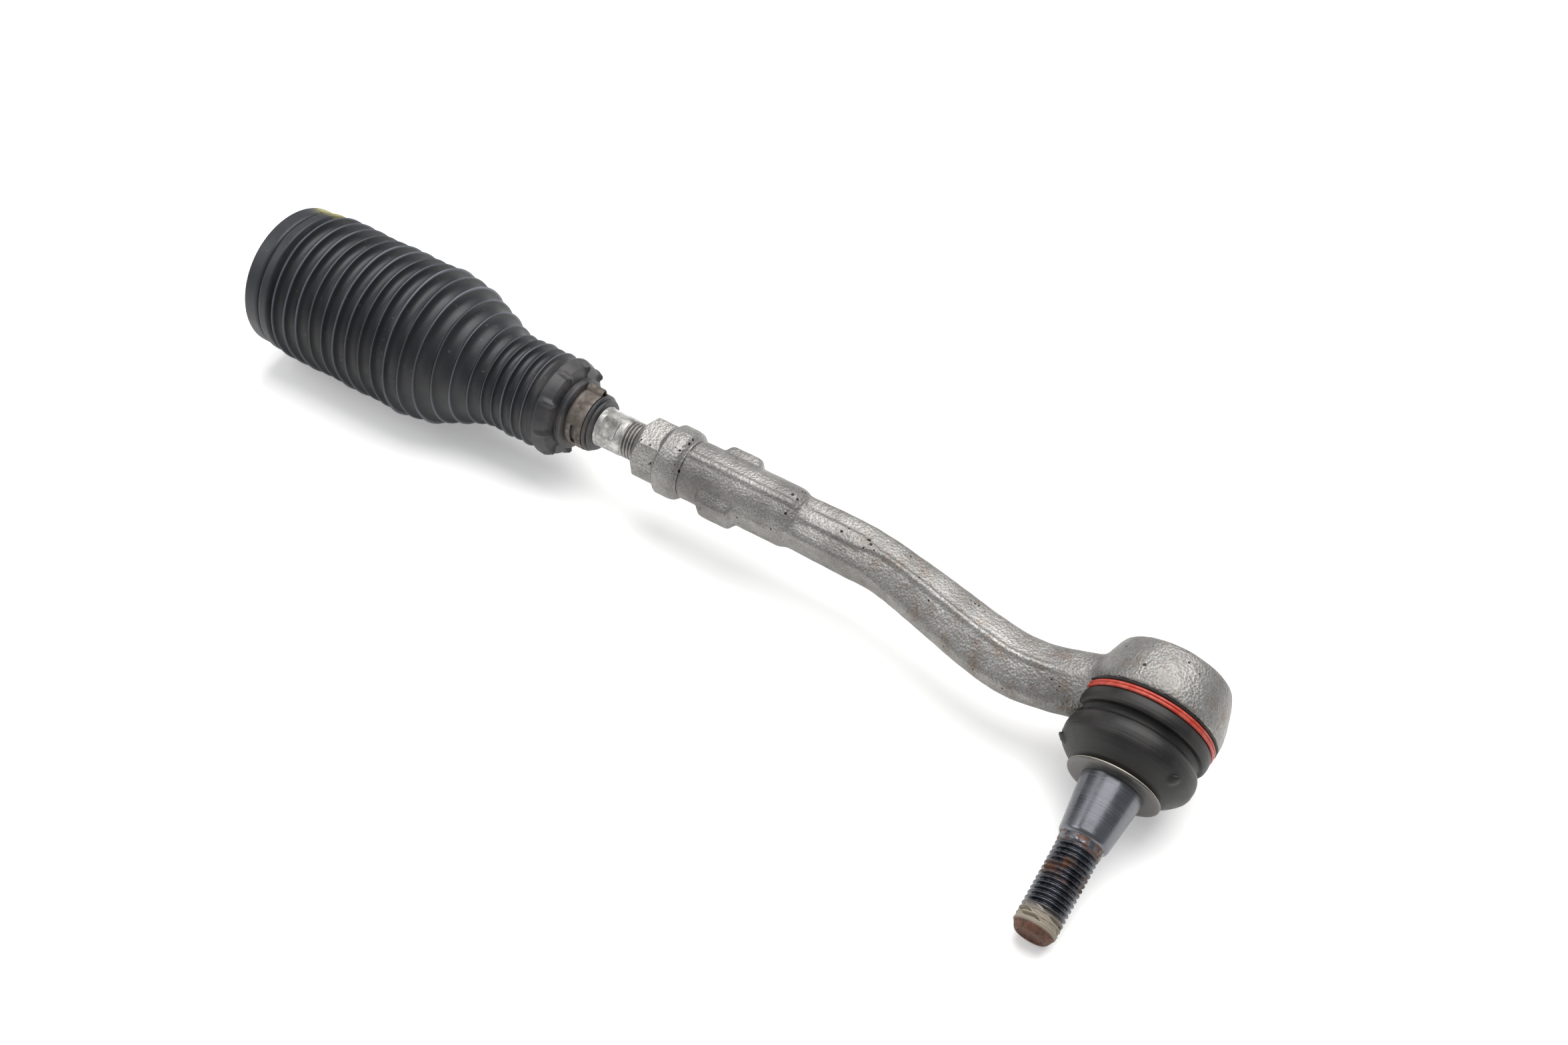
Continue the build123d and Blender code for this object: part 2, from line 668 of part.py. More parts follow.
def make_bellows_collar():
    """Large end: inner band, narrow groove, outer band for the clamp to the steering gear."""
    start_r = LARGE_R - LARGE_DEPTH
    bore = COLLAR_R - COLLAR_GROOVE - COLLAR_WALL
    band_end = FOLDS_END_X - COLLAR_BAND_LENGTH
    return turned_on_rod([
        (FOLDS_END_X, start_r - FOLD_WALL),
        (FOLDS_END_X, start_r),
        (FOLDS_END_X - 0.9, COLLAR_BAND_R - 0.6),
        (FOLDS_END_X - 1.5, COLLAR_BAND_R),
        (band_end + 0.6, COLLAR_BAND_R),
        (band_end, COLLAR_BAND_R - 0.6),
        (band_end - 0.3, COLLAR_R - COLLAR_GROOVE),
        (band_end - 1.5, COLLAR_R - COLLAR_GROOVE),
        (band_end - 1.8, COLLAR_R - 0.5),
        (band_end - 2.3, COLLAR_R),
        (COLLAR_END_X + 1.4, COLLAR_R),
        (COLLAR_END_X, COLLAR_R - 1.2),
        (COLLAR_END_X, bore + 0.8),
        (COLLAR_END_X + 0.8, bore),
        (FOLDS_END_X - 2.0, bore),
    ])


def make_neck_clamp():
    """Stepless ear clamp round the bellows neck."""
    high = NECK_BAND_END_X - 0.2
    low = high - CLAMP_WIDTH
    outer = NECK_BAND_R + CLAMP_WALL
    band = tube_on_rod(low, high, outer, NECK_BAND_R)
    middle = (low + high) / 2
    ear = Pos(middle, 0, outer + CLAMP_EAR_HEIGHT / 2 - 0.5)
    ear *= Box(CLAMP_WIDTH, CLAMP_EAR_WIDTH, CLAMP_EAR_HEIGHT)
    hollow = Pos(middle, 0, outer + (CLAMP_EAR_HEIGHT - 2 * CLAMP_WALL) / 2 - 0.5)
    hollow *= Box(CLAMP_WIDTH + 1, CLAMP_EAR_WIDTH - 2 * CLAMP_WALL, CLAMP_EAR_HEIGHT - 2 * CLAMP_WALL)
    ear = ear - hollow
    ear -= tube_on_rod(low - 1, high + 1, NECK_BAND_R, 0)
    return Rot(-35, 0, 0) * (band + ear)


# ---- write the nodes ----------------------------------------------------------------------

BALL_JOINT_NODES = {
    "tie_rod_end_forging": make_forging,
    "ball_stud": make_ball_stud,
    "ball_seat": make_ball_seat,
    "seat_preload_ring": make_preload_ring,
    "housing_end_cap": make_end_cap,
    "boot_clamp_ring": make_clamp_ring,
    "dust_boot": make_dust_boot,
    "boot_mouth_ring": make_mouth_ring,
    "stud_disc": make_disc,
}

ROD_LINE_NODES = {
    "jam_nut": make_jam_nut,
    "tie_rod": make_tie_rod,
    "inner_ball_seat": make_inner_seat,
    "inner_spring_washer": make_inner_spring,
    "inner_joint_housing": make_inner_housing,
    "bellows_neck": make_bellows_neck,
    "bellows_folds": make_bellows_folds,
    "bellows_collar": make_bellows_collar,
    "bellows_neck_clamp": make_neck_clamp,
}


def write_node(name, shape):
    """Turn a piece into its lying pose and write it."""
    lying = Rot(lie_angle(), 0, 0) * shape
    lying.label = name
    export_step(lying, "parts/" + name + ".step")
    print(name, round(lying.volume), lying.bounding_box().min, lying.bounding_box().max)


os.makedirs("parts", exist_ok=True)
print("lie angle", lie_angle())
for name, make in BALL_JOINT_NODES.items():
    write_node(name, make())
for name, make in ROD_LINE_NODES.items():
    write_node(name, on_rod_line(make()))
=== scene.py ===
import json
import math

import bmesh
import bpy
import numpy as np
from mathutils import Matrix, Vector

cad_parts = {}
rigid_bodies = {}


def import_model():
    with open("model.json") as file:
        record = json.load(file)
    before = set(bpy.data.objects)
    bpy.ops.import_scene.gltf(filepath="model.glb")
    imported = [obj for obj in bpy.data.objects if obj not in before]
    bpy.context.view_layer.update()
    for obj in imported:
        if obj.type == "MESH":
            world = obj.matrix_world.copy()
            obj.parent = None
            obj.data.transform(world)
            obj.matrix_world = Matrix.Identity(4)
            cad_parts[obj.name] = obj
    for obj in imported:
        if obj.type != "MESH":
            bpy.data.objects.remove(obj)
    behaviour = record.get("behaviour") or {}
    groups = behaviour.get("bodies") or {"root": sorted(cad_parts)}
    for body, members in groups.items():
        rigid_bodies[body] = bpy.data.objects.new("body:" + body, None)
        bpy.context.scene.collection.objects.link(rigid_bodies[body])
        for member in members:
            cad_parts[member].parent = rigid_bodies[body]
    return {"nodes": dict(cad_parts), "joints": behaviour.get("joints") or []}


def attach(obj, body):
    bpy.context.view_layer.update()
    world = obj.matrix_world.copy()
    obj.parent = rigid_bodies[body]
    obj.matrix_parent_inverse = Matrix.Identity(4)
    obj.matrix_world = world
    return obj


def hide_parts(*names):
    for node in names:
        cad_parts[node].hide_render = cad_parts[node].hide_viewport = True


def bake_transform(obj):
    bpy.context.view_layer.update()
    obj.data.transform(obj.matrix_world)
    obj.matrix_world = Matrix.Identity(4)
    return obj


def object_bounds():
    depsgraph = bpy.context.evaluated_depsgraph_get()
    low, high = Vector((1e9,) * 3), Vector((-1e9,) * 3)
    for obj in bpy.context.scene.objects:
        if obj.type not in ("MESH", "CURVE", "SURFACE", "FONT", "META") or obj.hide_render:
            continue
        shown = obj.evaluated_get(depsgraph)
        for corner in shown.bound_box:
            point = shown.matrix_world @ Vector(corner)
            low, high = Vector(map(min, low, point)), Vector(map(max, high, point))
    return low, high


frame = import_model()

cad_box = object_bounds()

# Lengths in the sections are millimetres and become metres at the mesh. Two lines place every
# piece: the rod line along X, and the stud line from the outer ball's centre to the stud's tip.
mm = 0.001
joints = {joint["name"]: joint for joint in frame["joints"]}
rod_line = np.array([0.0, joints["inner_spin"]["pos_m"][1], joints["inner_spin"]["pos_m"][2]])
along_rod = np.array([1.0, 0.0, 0.0])
along_stud = np.array(joints["stud_spin"]["axis"], float)
across_stud = np.cross(along_rod, along_stud)
if across_stud[2] < 0:
    across_stud = -across_stud
ball_centre = np.zeros(3)

for left_over in list(bpy.data.objects):
    if left_over.type in {"LIGHT", "CAMERA"}:
        bpy.data.objects.remove(left_over)


# ---- Steering bellows -----------------------------------------------------------------------
# The real piece is one blow-moulded rubber sleeve: a lip and clamp land on the rod, a ribbed
# shoulder, twenty folds that open from 42 to 67 mm across, and a two-band collar that a clamp
# holds on the steering gear. It stretches and closes as the rack moves.

bellows_lip_end = -243.6
bellows_shoulder = -266.0
bellows_folds_end = -394.35
bellows_collar_end = -408.45
small_fold_radius, large_fold_radius = 21.2, 33.6
small_folds, taper_folds, large_folds = 5, 6, 9
small_pitch, taper_pitch, large_pitch = 4.9, 7.0, 6.6
small_depth, large_depth = 2.9, 4.2
rubber_wall = 2.0
rib_count = 9
bellows_black = "#1B1C1F"
# the ridge grey is partly worn rubber and partly a painted highlight on the crests
bellows_ridge_wear_and_highlight_grey = "#777A83"
bellows_dust = "#5A544F"
bellows_grease = "#7F7A2C"


def soft_profile(corners, step, soften):
    """Points at even steps along straight lines through the corners, then averaged over a
    moving length, so that each corner becomes a small round. Ends stay where they are."""
    corners = np.array(corners, float)
    run = np.concatenate([[0.0], np.cumsum(np.hypot(*np.diff(corners, axis=0).T))])
    count = max(int(run[-1] / step), 4)
    at = np.linspace(0.0, run[-1], count)
    line = np.column_stack([np.interp(at, run, corners[:, k]) for k in (0, 1)])
    width = max(int(round(soften / step)), 1)
    if width > 1:
        kernel = np.ones(2 * (width // 2) + 1)
        kernel /= kernel.sum()
        half = len(kernel) // 2
        padded = np.vstack([2 * line[0] - line[half:0:-1], line, 2 * line[-1] - line[-2:-half - 2:-1]])
        soft = np.column_stack([np.convolve(padded[:, k], kernel, "valid") for k in (0, 1)])
        soft[0], soft[-1] = line[0], line[-1]
        line = soft
    return line


def skin_from_grid(name, points, wrap_rows, marks=None, sharp=None):
    """A mesh from a grid of points, closed round its columns. Rows close too if wrap_rows.
    Doubles at the poles are merged, and faces are turned outwards. Marks are one value per point."""
    rows, columns = points.shape[:2]
    number = np.arange(rows * columns).reshape(rows, columns)
    here = number if wrap_rows else number[:-1]
    below = np.roll(number, -1, axis=0) if wrap_rows else number[1:]
    quads = np.stack([here, np.roll(here, -1, axis=1), np.roll(below, -1, axis=1), below], axis=-1)
    quads = quads.reshape(-1, 4)
    mesh = bpy.data.meshes.new(name)
    mesh.vertices.add(rows * columns)
    mesh.vertices.foreach_set("co", points.reshape(-1).astype(np.float32))
    mesh.loops.add(quads.size)
    mesh.loops.foreach_set("vertex_index", quads.reshape(-1).astype(np.int32))
    mesh.polygons.add(len(quads))
    mesh.polygons.foreach_set("loop_start", np.arange(0, quads.size, 4, dtype=np.int32))
    mesh.update(calc_edges=True)
    for mark, values in (marks or {}).items():
        layer = mesh.attributes.new(mark, "FLOAT", "POINT")
        layer.data.foreach_set("value",
            np.broadcast_to(values, (rows, columns)).reshape(-1).astype(np.float32))
    work = bmesh.new()
    work.from_mesh(mesh)
    bmesh.ops.remove_doubles(work, verts=work.verts, dist=1e-7)
    bmesh.ops.recalc_face_normals(work, faces=work.faces)
    work.to_mesh(mesh)
    work.free()
    mesh.polygons.foreach_set("use_smooth", np.ones(len(mesh.polygons), bool))
    if sharp is not None:
        mesh.set_sharp_from_angle(angle=math.radians(sharp))
    piece = bpy.data.objects.new(name, mesh)
    bpy.context.scene.collection.objects.link(piece)
    return piece


def turned_piece(name, profile, turns, centre, axis, side, shape=None, wrap=False, sharp=None, marks=None):
    """A profile of (distance along the axis, radius) carried round the axis. The angle runs from
    side towards axis x side, and shape(along, radius, angle) may bend both values."""
    angle = np.linspace(0.0, 2 * np.pi, turns, endpoint=False)[None, :]
    along = np.repeat(profile[:, :1], turns, axis=1)
    radius = np.repeat(profile[:, 1:2], turns, axis=1)
    if shape is not None:
        along, radius = shape(along, radius, angle)
    other = np.cross(axis, side)
    points = centre + mm * (
        along[..., None] * axis
        + (radius * np.cos(angle))[..., None] * side
        + (radius * np.sin(angle))[..., None] * other
    )
    values = marks(along, radius, angle) if marks else None
    return skin_from_grid(name, points, wrap, values, sharp)


def linear(colour):
    """An sRGB hex colour as the linear values that the shader takes."""
    parts = np.array([int(colour[k:k + 2], 16) / 255 for k in (1, 3, 5)])
    flat = np.where(parts <= 0.04045, parts / 12.92, ((parts + 0.055) / 1.055) ** 2.4)
    return (*flat.tolist(), 1.0)


def add(tree, kind, inputs=None, **settings):
    """Adds a node, sets its settings and inputs, and links any input given as a socket."""
    node = tree.nodes.new(kind)
    for setting, value in settings.items():
        setattr(node, setting, value)
    for socket, value in (inputs or {}).items():
        if isinstance(value, bpy.types.NodeSocket):
            tree.links.new(value, node.inputs[socket])
        else:
            node.inputs[socket].default_value = value
    return node


def begin_material(name):
    """An empty material with its shader and output joined. Returns material, tree and shader."""
    material = bpy.data.materials.new(name)
    material.use_nodes = True
    tree = material.node_tree
    tree.nodes.clear()
    shader = add(tree, "ShaderNodeBsdfPrincipled")
    add(tree, "ShaderNodeOutputMaterial", {"Surface": shader.outputs[0]})
    return material, tree, shader


def fold_places():
    """Place, radius and depth of each ridge, from the small end to the large end."""
    places = []
    x = bellows_shoulder - small_pitch
    for _ in range(small_folds):
        places.append((x, small_fold_radius, small_depth))
        x -= small_pitch
    x -= (taper_pitch - small_pitch) / 2
    for index in range(taper_folds):
        share = (index + 1) / taper_folds
        swell = math.sin(share * math.pi / 2) ** 1.5
        radius = small_fold_radius + (large_fold_radius - small_fold_radius) * swell
        places.append((x, radius, small_depth + (large_depth - small_depth) * share))
        x -= taper_pitch
    x += (taper_pitch - large_pitch) / 2
    for _ in range(large_folds):
        places.append((x, large_fold_radius, large_depth))
        x -= large_pitch
    return np.array(places)


folds = fold_places()
# Between two ridges the wall hangs in a broad round valley: the depth goes as a low power of a
# sine, which leaves a narrow crest at each ridge.
fold_x = np.linspace(bellows_shoulder, bellows_folds_end, 560)
ridge_x = np.concatenate([[bellows_shoulder + small_pitch * 0.2], folds[:, 0],
    [2 * bellows_folds_end - folds[-1, 0]]])
ridge_radius = np.concatenate([[small_fold_radius - 0.3], folds[:, 1], folds[-1:, 1] - 0.6])
ridge_depth = np.concatenate([[1.6], folds[:, 2], folds[-1:, 2]])
between = np.interp(-fold_x, -ridge_x, np.arange(len(ridge_x)))
phase = between % 1.0
crest_line = np.interp(-fold_x, -ridge_x, ridge_radius)
depth_line = np.interp(-fold_x, -ridge_x, ridge_depth)
lean = phase + 0.07 * np.sin(2 * np.pi * phase)
hang = np.clip(np.sin(np.pi * lean), 0, 1) ** 0.58
fold_radius = crest_line - depth_line * hang

neck_outline = soft_profile([
    (bellows_lip_end, 8.75), (bellows_lip_end - 0.2, 10.5), (bellows_lip_end - 1.3, 11.2),
    (bellows_lip_end - 1.7, 10.4), (bellows_lip_end - 2.1, 11.6), (bellows_lip_end - 2.9, 12.2),
    (bellows_lip_end - 3.3, 11.9), (bellows_lip_end - 3.4, 11.2), (bellows_lip_end - 11.6, 11.2),
    (bellows_lip_end - 11.7, 14.2), (bellows_lip_end - 12.1, 14.9), (bellows_lip_end - 13.9, 14.9),
    (bellows_lip_end - 14.2, 14.0), (bellows_lip_end - 14.8, 14.2), (bellows_lip_end - 15.4, 17.6),
    (bellows_lip_end - 16.0, 19.0), (bellows_lip_end - 18.4, 20.2), (bellows_shoulder + 1.4, 20.9),
    (fold_x[0], fold_radius[0])], 0.18, 0.5)
collar_outline = soft_profile([
    (fold_x[-1], fold_radius[-1]), (bellows_folds_end - 0.8, 30.6), (bellows_folds_end - 1.4, 31.6),
    (bellows_folds_end - 4.6, 31.8), (bellows_folds_end - 5.2, 31.2), (bellows_folds_end - 5.5, 29.9),
    (bellows_folds_end - 6.4, 29.9), (bellows_folds_end - 6.8, 30.7), (bellows_folds_end - 7.6, 31.0),
    (bellows_collar_end + 1.0, 31.0), (bellows_collar_end, 30.0), (bellows_collar_end, 28.4)], 0.25, 0.6)
inside_x = np.linspace(bellows_collar_end + 0.6, bellows_lip_end - 14.5, 150)
inside_radius = np.interp(-inside_x, -fold_x, fold_radius, left=0, right=0) - rubber_wall
inside_radius = np.where(inside_x < bellows_folds_end, 27.5, inside_radius)
inside_shoulder = np.interp(inside_x, [bellows_shoulder, -258.1], [17.0, 12.2])
inside_radius = np.where(inside_x > bellows_shoulder, inside_shoulder, inside_radius)
bellows_outline = np.vstack([
    neck_outline, np.column_stack([fold_x, fold_radius])[1:], collar_outline[1:],
    np.column_stack([inside_x, inside_radius]), [(bellows_lip_end - 14.0, 8.75)]])


def moulded_unevenness(along, radius, angle):
    """Ribs stand on the shoulder between collar ring and first fold; folds wander a little."""
    on_shoulder = np.clip((along + 264.6) / 1.2, 0, 1) * np.clip((-258.4 - along) / 0.8, 0, 1)
    on_shoulder = on_shoulder * (radius > 15.2)
    rib = np.abs((angle * rib_count / (2 * np.pi) + 0.37) % 1.0 - 0.5) * 2 * np.pi * radius / rib_count
    rib = np.clip((1.0 - rib) / 0.35, 0, 1)
    along = along + 1.5 * rib * on_shoulder
    radius = radius + 0.55 * rib * on_shoulder
    on_folds = np.clip((bellows_shoulder - 2 - along) / 10, 0, 1)
    on_folds = on_folds * np.clip((along - bellows_folds_end) / 10, 0, 1)
    wander = 0.16 * np.sin(2 * angle + along * 0.05) + 0.05 * np.sin(5 * angle + along * 0.31)
    wander += 0.02 * np.sin(11 * angle - along * 0.9)
    radius = radius + wander * on_folds - 0.34 * on_folds
    drift = 0.22 * np.sin(angle * 2 + along * 0.21) + 0.04 * np.sin(angle * 7 + along * 0.7)
    along = along + on_folds * drift
    return along, radius


def bellows_marks(along, radius, angle):
    """Ridge is 1 on a crest and 0 in a valley, for the wear and the painted highlight on the crests; along
    is millimetres on the rod.
    """
    crest = np.interp(-along, -fold_x, crest_line, left=0, right=0)
    depth = np.interp(-along, -fold_x, depth_line)
    ridge = np.clip(1 - (crest - radius - 0.45) / (0.42 * depth), 0, 1)
    ridge = np.where((along > bellows_shoulder) | (along < bellows_folds_end), 0.3, ridge)
    return {"ridge": ridge, "along": along}


bellows = turned_piece(
    "steering_bellows", bellows_outline, 132, rod_line, along_rod, np.array([0.0, 0.0, 1.0]),
    shape=moulded_unevenness, wrap=True, marks=bellows_marks)

# Moulded rubber with a soft broad sheen. The crests are painted paler, partly wear and partly a painted
# highlight, and the folds stay near black; road dust lies thickest at the small end, with a smear of dried
# grease on the rim.
bellows_rubber, tree, shader = begin_material("moulded_bellows_rubber")
coordinates = add(tree, "ShaderNodeTexCoord").outputs["Object"]
ridge = add(tree, "ShaderNodeAttribute", attribute_name="ridge").outputs["Fac"]
place = add(tree, "ShaderNodeAttribute", attribute_name="along").outputs["Fac"]
cloud = add(tree, "ShaderNodeTexNoise", {"Vector": coordinates, "Scale": 70.0, "Detail": 5.0,
    "Roughness": 0.6}).outputs["Fac"]
grain = add(tree, "ShaderNodeTexNoise", {"Vector": coordinates, "Scale": 1500.0,
    "Detail": 3.0}).outputs["Fac"]
crest_wear_and_highlight = add(tree, "ShaderNodeMapRange", {"Value": ridge, "From Min": 0.25, "From Max": 1.0}).outputs[0]
uneven = add(tree, "ShaderNodeMapRange", {"Value": cloud, "From Min": 0.35, "From Max": 0.7, "To Min": 0.55,
    "To Max": 1.0}).outputs[0]
crest_wear_and_highlight = add(tree, "ShaderNodeMath", {0: crest_wear_and_highlight, 1: uneven}, operation="MULTIPLY").outputs[0]
# crests painted paler grey: partly wear, partly a painted highlight
rubber = add(tree, "ShaderNodeMix", {0: crest_wear_and_highlight, 6: linear(bellows_black), 7: linear(bellows_ridge_wear_and_highlight_grey)},
    data_type="RGBA").outputs[2]
near_rod = add(tree, "ShaderNodeMapRange",
    {"Value": place, "From Min": -275.0, "From Max": -252.0}).outputs[0]
dust_share = add(tree, "ShaderNodeMapRange",
    {"Value": cloud, "From Min": 0.42, "From Max": 0.62}).outputs[0]
dust_share = add(tree, "ShaderNodeMath", {0: dust_share, 1: near_rod}, operation="MULTIPLY").outputs[0]
dust_share = add(tree, "ShaderNodeMath", {0: dust_share, 1: 0.55}, operation="MULTIPLY").outputs[0]
speck = add(tree, "ShaderNodeTexNoise",
    {"Vector": coordinates, "Scale": 520.0, "Detail": 2.0}).outputs["Fac"]
speck = add(tree, "ShaderNodeMapRange", {"Value": speck, "From Min": 0.69, "From Max": 0.76,
    "To Max": 0.5}).outputs[0]
dust_share = add(tree, "ShaderNodeMath", {0: dust_share, 1: speck}, operation="MAXIMUM").outputs[0]
dusty = add(tree, "ShaderNodeMix", {0: dust_share, 6: rubber, 7: linear(bellows_dust)},
    data_type="RGBA").outputs[2]
grease_spot = add(tree, "ShaderNodeVectorMath", {0: coordinates, 1: (-0.4015, 0.0240, 0.0262)},
    operation="DISTANCE").outputs["Value"]
grease = add(tree, "ShaderNodeMapRange", {"Value": grease_spot, "From Min": 0.009,
    "From Max": 0.004}).outputs[0]
grease_edge = add(tree, "ShaderNodeMapRange",
    {"Value": cloud, "From Min": 0.40, "From Max": 0.52}).outputs[0]
grease = add(tree, "ShaderNodeMath", {0: grease, 1: grease_edge}, operation="MULTIPLY").outputs[0]
dusty = add(tree, "ShaderNodeMix", {0: grease, 6: dusty, 7: linear(bellows_grease)},
    data_type="RGBA").outputs[2]
dull = add(tree, "ShaderNodeMapRange", {"Value": cloud, "From Min": 0.3, "From Max": 0.7, "To Min": 0.40,
    "To Max": 0.56}).outputs[0]
relief = add(tree, "ShaderNodeBump", {"Height": grain, "Strength": 0.16, "Distance": 0.0002}).outputs[0]
tree.links.new(dusty, shader.inputs["Base Color"])
tree.links.new(dull, shader.inputs["Roughness"])
tree.links.new(relief, shader.inputs["Normal"])
shader.inputs["Specular IOR Level"].default_value = 0.42
bellows.data.materials.append(bellows_rubber)
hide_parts("bellows_neck", "bellows_folds", "bellows_collar")
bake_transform(bellows)


# ---- Bellows neck clamp ---------------------------------------------------------------------
# A band of thin stainless strip closed round the rubber neck by a pinched ear. Long slots in the
# band hook over the strip's end. Years of road dirt have left it brown and matt.

clamp_low, clamp_high = -254.9, -247.3
clamp_radius = 11.9
clamp_strip = 0.7
clamp_steel = "#77706A"
clamp_dirt = "#4B423A"
clamp_slots = ((0.02, 0.13), (0.20, 0.31), (0.80, 0.92))


def clamp_band(name):
    """Grid of the strip round the neck, with the slots left out and a raised ear; the strip's
    thickness is added by a modifier."""
    turns, rows = 220, 15
    angle = np.linspace(0, 2 * np.pi, turns, endpoint=False)[None, :]
    x = np.linspace(clamp_low, clamp_high, rows)[:, None] + 0 * angle
    turn = (angle / (2 * np.pi) + 0.62) % 1.0
    ear = np.clip(1 - np.abs((turn - 0.55) / 0.022), 0, 1)
    radius = clamp_radius + 2.4 * np.sqrt(ear) + 0.06 * np.sin(angle * 9) + 0 * x
    edge = np.clip(1 - np.minimum(x - clamp_low, clamp_high - x) / 0.5, 0, 1)
    radius = radius - 0.18 * edge
    points = rod_line + mm * (
        x[..., None] * along_rod
        + (radius * np.cos(angle))[..., None] * np.array([0.0, 0.0, 1.0])
        + (radius * np.sin(angle))[..., None] * np.cross(along_rod, [0.0, 0.0, 1.0]))
    number = np.arange(rows * turns).reshape(rows, turns)
    quads = np.stack([number[:-1], np.roll(number[:-1], -1, 1), np.roll(number[1:], -1, 1), number[1:]], -1)
    row_share = ((np.arange(rows - 1) + 0.5) / (rows - 1))[:, None]
    in_slot = np.zeros((rows - 1, turns), bool)
    for low, high in clamp_slots:
        in_slot |= (np.abs(row_share - 0.5) < 0.17) & (turn > low) & (turn < high)
    quads = quads[~in_slot]
    mesh = bpy.data.meshes.new(name)
    mesh.from_pydata(points.reshape(-1, 3).tolist(), [], quads.tolist())
    work = bmesh.new()
    work.from_mesh(mesh)
    bmesh.ops.delete(work, geom=[v for v in work.verts if not v.link_faces], context="VERTS")
    bmesh.ops.recalc_face_normals(work, faces=work.faces)
    work.to_mesh(mesh)
    work.free()
    piece = bpy.data.objects.new(name, mesh)
    bpy.context.scene.collection.objects.link(piece)
    wall = piece.modifiers.new("strip_thickness", "SOLIDIFY")
    wall.thickness = clamp_strip * mm
    wall.offset = 0.0
    wall.use_even_offset = True
    depsgraph = bpy.context.evaluated_depsgraph_get()
    solid = bpy.data.meshes.new_from_object(piece.evaluated_get(depsgraph))
    piece.modifiers.clear()
    piece.data = solid
    solid.polygons.foreach_set("use_smooth", np.ones(len(solid.polygons), bool))
    solid.set_sharp_from_angle(angle=math.radians(40))
    return piece


neck_clamp = clamp_band("bellows_neck_band")
# Stainless strip under road dirt: a dull brown-grey skin with the steel showing on edges.
dirty_strip, tree, shader = begin_material("dirty_stainless_strip")
coordinates = add(tree, "ShaderNodeTexCoord").outputs["Object"]
dirt = add(tree, "ShaderNodeTexNoise", {"Vector": coordinates, "Scale": 210.0, "Detail": 6.0,
    "Roughness": 0.65}).outputs["Fac"]
dirt_share = add(tree, "ShaderNodeMapRange", {"Value": dirt, "From Min": 0.38, "From Max": 0.60}).outputs[0]
strip_colour = add(tree, "ShaderNodeMix", {0: dirt_share, 6: linear(clamp_steel), 7: linear(clamp_dirt)},
    data_type="RGBA").outputs[2]
strip_dull = add(tree, "ShaderNodeMapRange",
    {"Value": dirt_share, "To Min": 0.42, "To Max": 0.75}).outputs[0]
strip_metal = add(tree, "ShaderNodeMapRange",
    {"Value": dirt_share, "To Min": 0.85, "To Max": 0.15}).outputs[0]
tree.links.new(strip_colour, shader.inputs["Base Color"])
tree.links.new(strip_dull, shader.inputs["Roughness"])
tree.links.new(strip_metal, shader.inputs["Metallic"])
tree.links.new(add(tree, "ShaderNodeBump",
    {"Height": dirt, "Strength": 0.3, "Distance": 0.0003}).outputs[0], shader.inputs["Normal"])
neck_clamp.data.materials.append(dirty_strip)
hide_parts("bellows_neck_clamp")
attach(neck_clamp, "bellows_neck_body")


# ---- Tie rod --------------------------------------------------------------------------------
# Cold-headed steel rod, zinc plated and now dull and stained. It has a ball at the rack end, two
# spanner flats by the bellows, and a rolled M16 x 1.5 thread that screws into the outer end.

rod_radius = 8.2
rod_thread_radius, rod_thread_depth, rod_pitch = 8.0, 0.75, 1.5
rod_thread_start, rod_thread_end = -231.4, -172.0
rod_flats_low, rod_flats_high, rod_across_flats = -242.0, -234.0, 14.0
inner_ball_x, inner_ball_radius, inner_neck_radius = -380.0, 13.0, 7.4
rod_light, rod_mid, rod_dark = "#C9C8C4", "#8B8985", "#4E4A46"


def thread_form(along, radius, angle, start, end, pitch, crest_radius, depth):
    """A helix: the height above the root goes as a clipped triangle wave of the distance along
    the axis less one pitch per turn, and it fades out at both ends of the thread."""
    wave = np.abs(((along - pitch * angle / (2 * np.pi)) / pitch) % 1.0 - 0.5) * 2
    height = np.clip(wave * 1.35 - 0.15, 0, 1)
    inside = np.clip((along - start) / pitch, 0, 1) * np.clip((end - along) / pitch, 0, 1)
    threaded = np.minimum(radius, crest_radius - depth * (1 - height))
    return radius + (threaded - radius) * inside


def even_run(low, high, step, radius):
    """Points at even steps along the axis at one radius, close enough together for a thread."""
    along = np.arange(low, high, step)
    return np.column_stack([along, np.full(len(along), radius)])


def rod_form(along, radius, angle):
    """Thread on the far end, and two parallel flats that cut the round rod."""
    radius = thread_form(along, radius, angle, rod_thread_start - 0.6, rod_thread_end, rod_pitch,
        rod_thread_radius, rod_thread_depth)
    flat = rod_across_flats / 2 / np.maximum(np.abs(np.cos(angle - math.radians(38))), 1e-3)
    on_flat = np.clip((along - rod_flats_low) / 0.8, 0, 1) * np.clip((rod_flats_high - along) / 0.8, 0, 1)
    return along, radius + (np.minimum(radius, flat) - radius) * on_flat


ball_angle = np.linspace(np.pi, math.asin(inner_neck_radius / inner_ball_radius), 30)
rod_outline = np.vstack([
    np.column_stack([
        inner_ball_x + inner_ball_radius * np.cos(ball_angle), inner_ball_radius * np.sin(ball_angle)]),
    soft_profile([(-369.0, 7.4), (-354, 7.4), (-351, rod_radius), (-262, rod_radius)], 2.0, 3.0),
    soft_profile([
        (-260.5, rod_radius), (-260.0, 8.6), (-243.4, 8.6), (-242.9, rod_radius),
        (rod_thread_start - 1.2, rod_radius), (rod_thread_start - 0.4, rod_radius - 0.15)], 0.35, 0.5),
    even_run(rod_thread_start, rod_thread_end - 1.2, 0.14, rod_thread_radius),
    [(rod_thread_end, rod_thread_radius - 1.4), (rod_thread_end, 0.0)]])


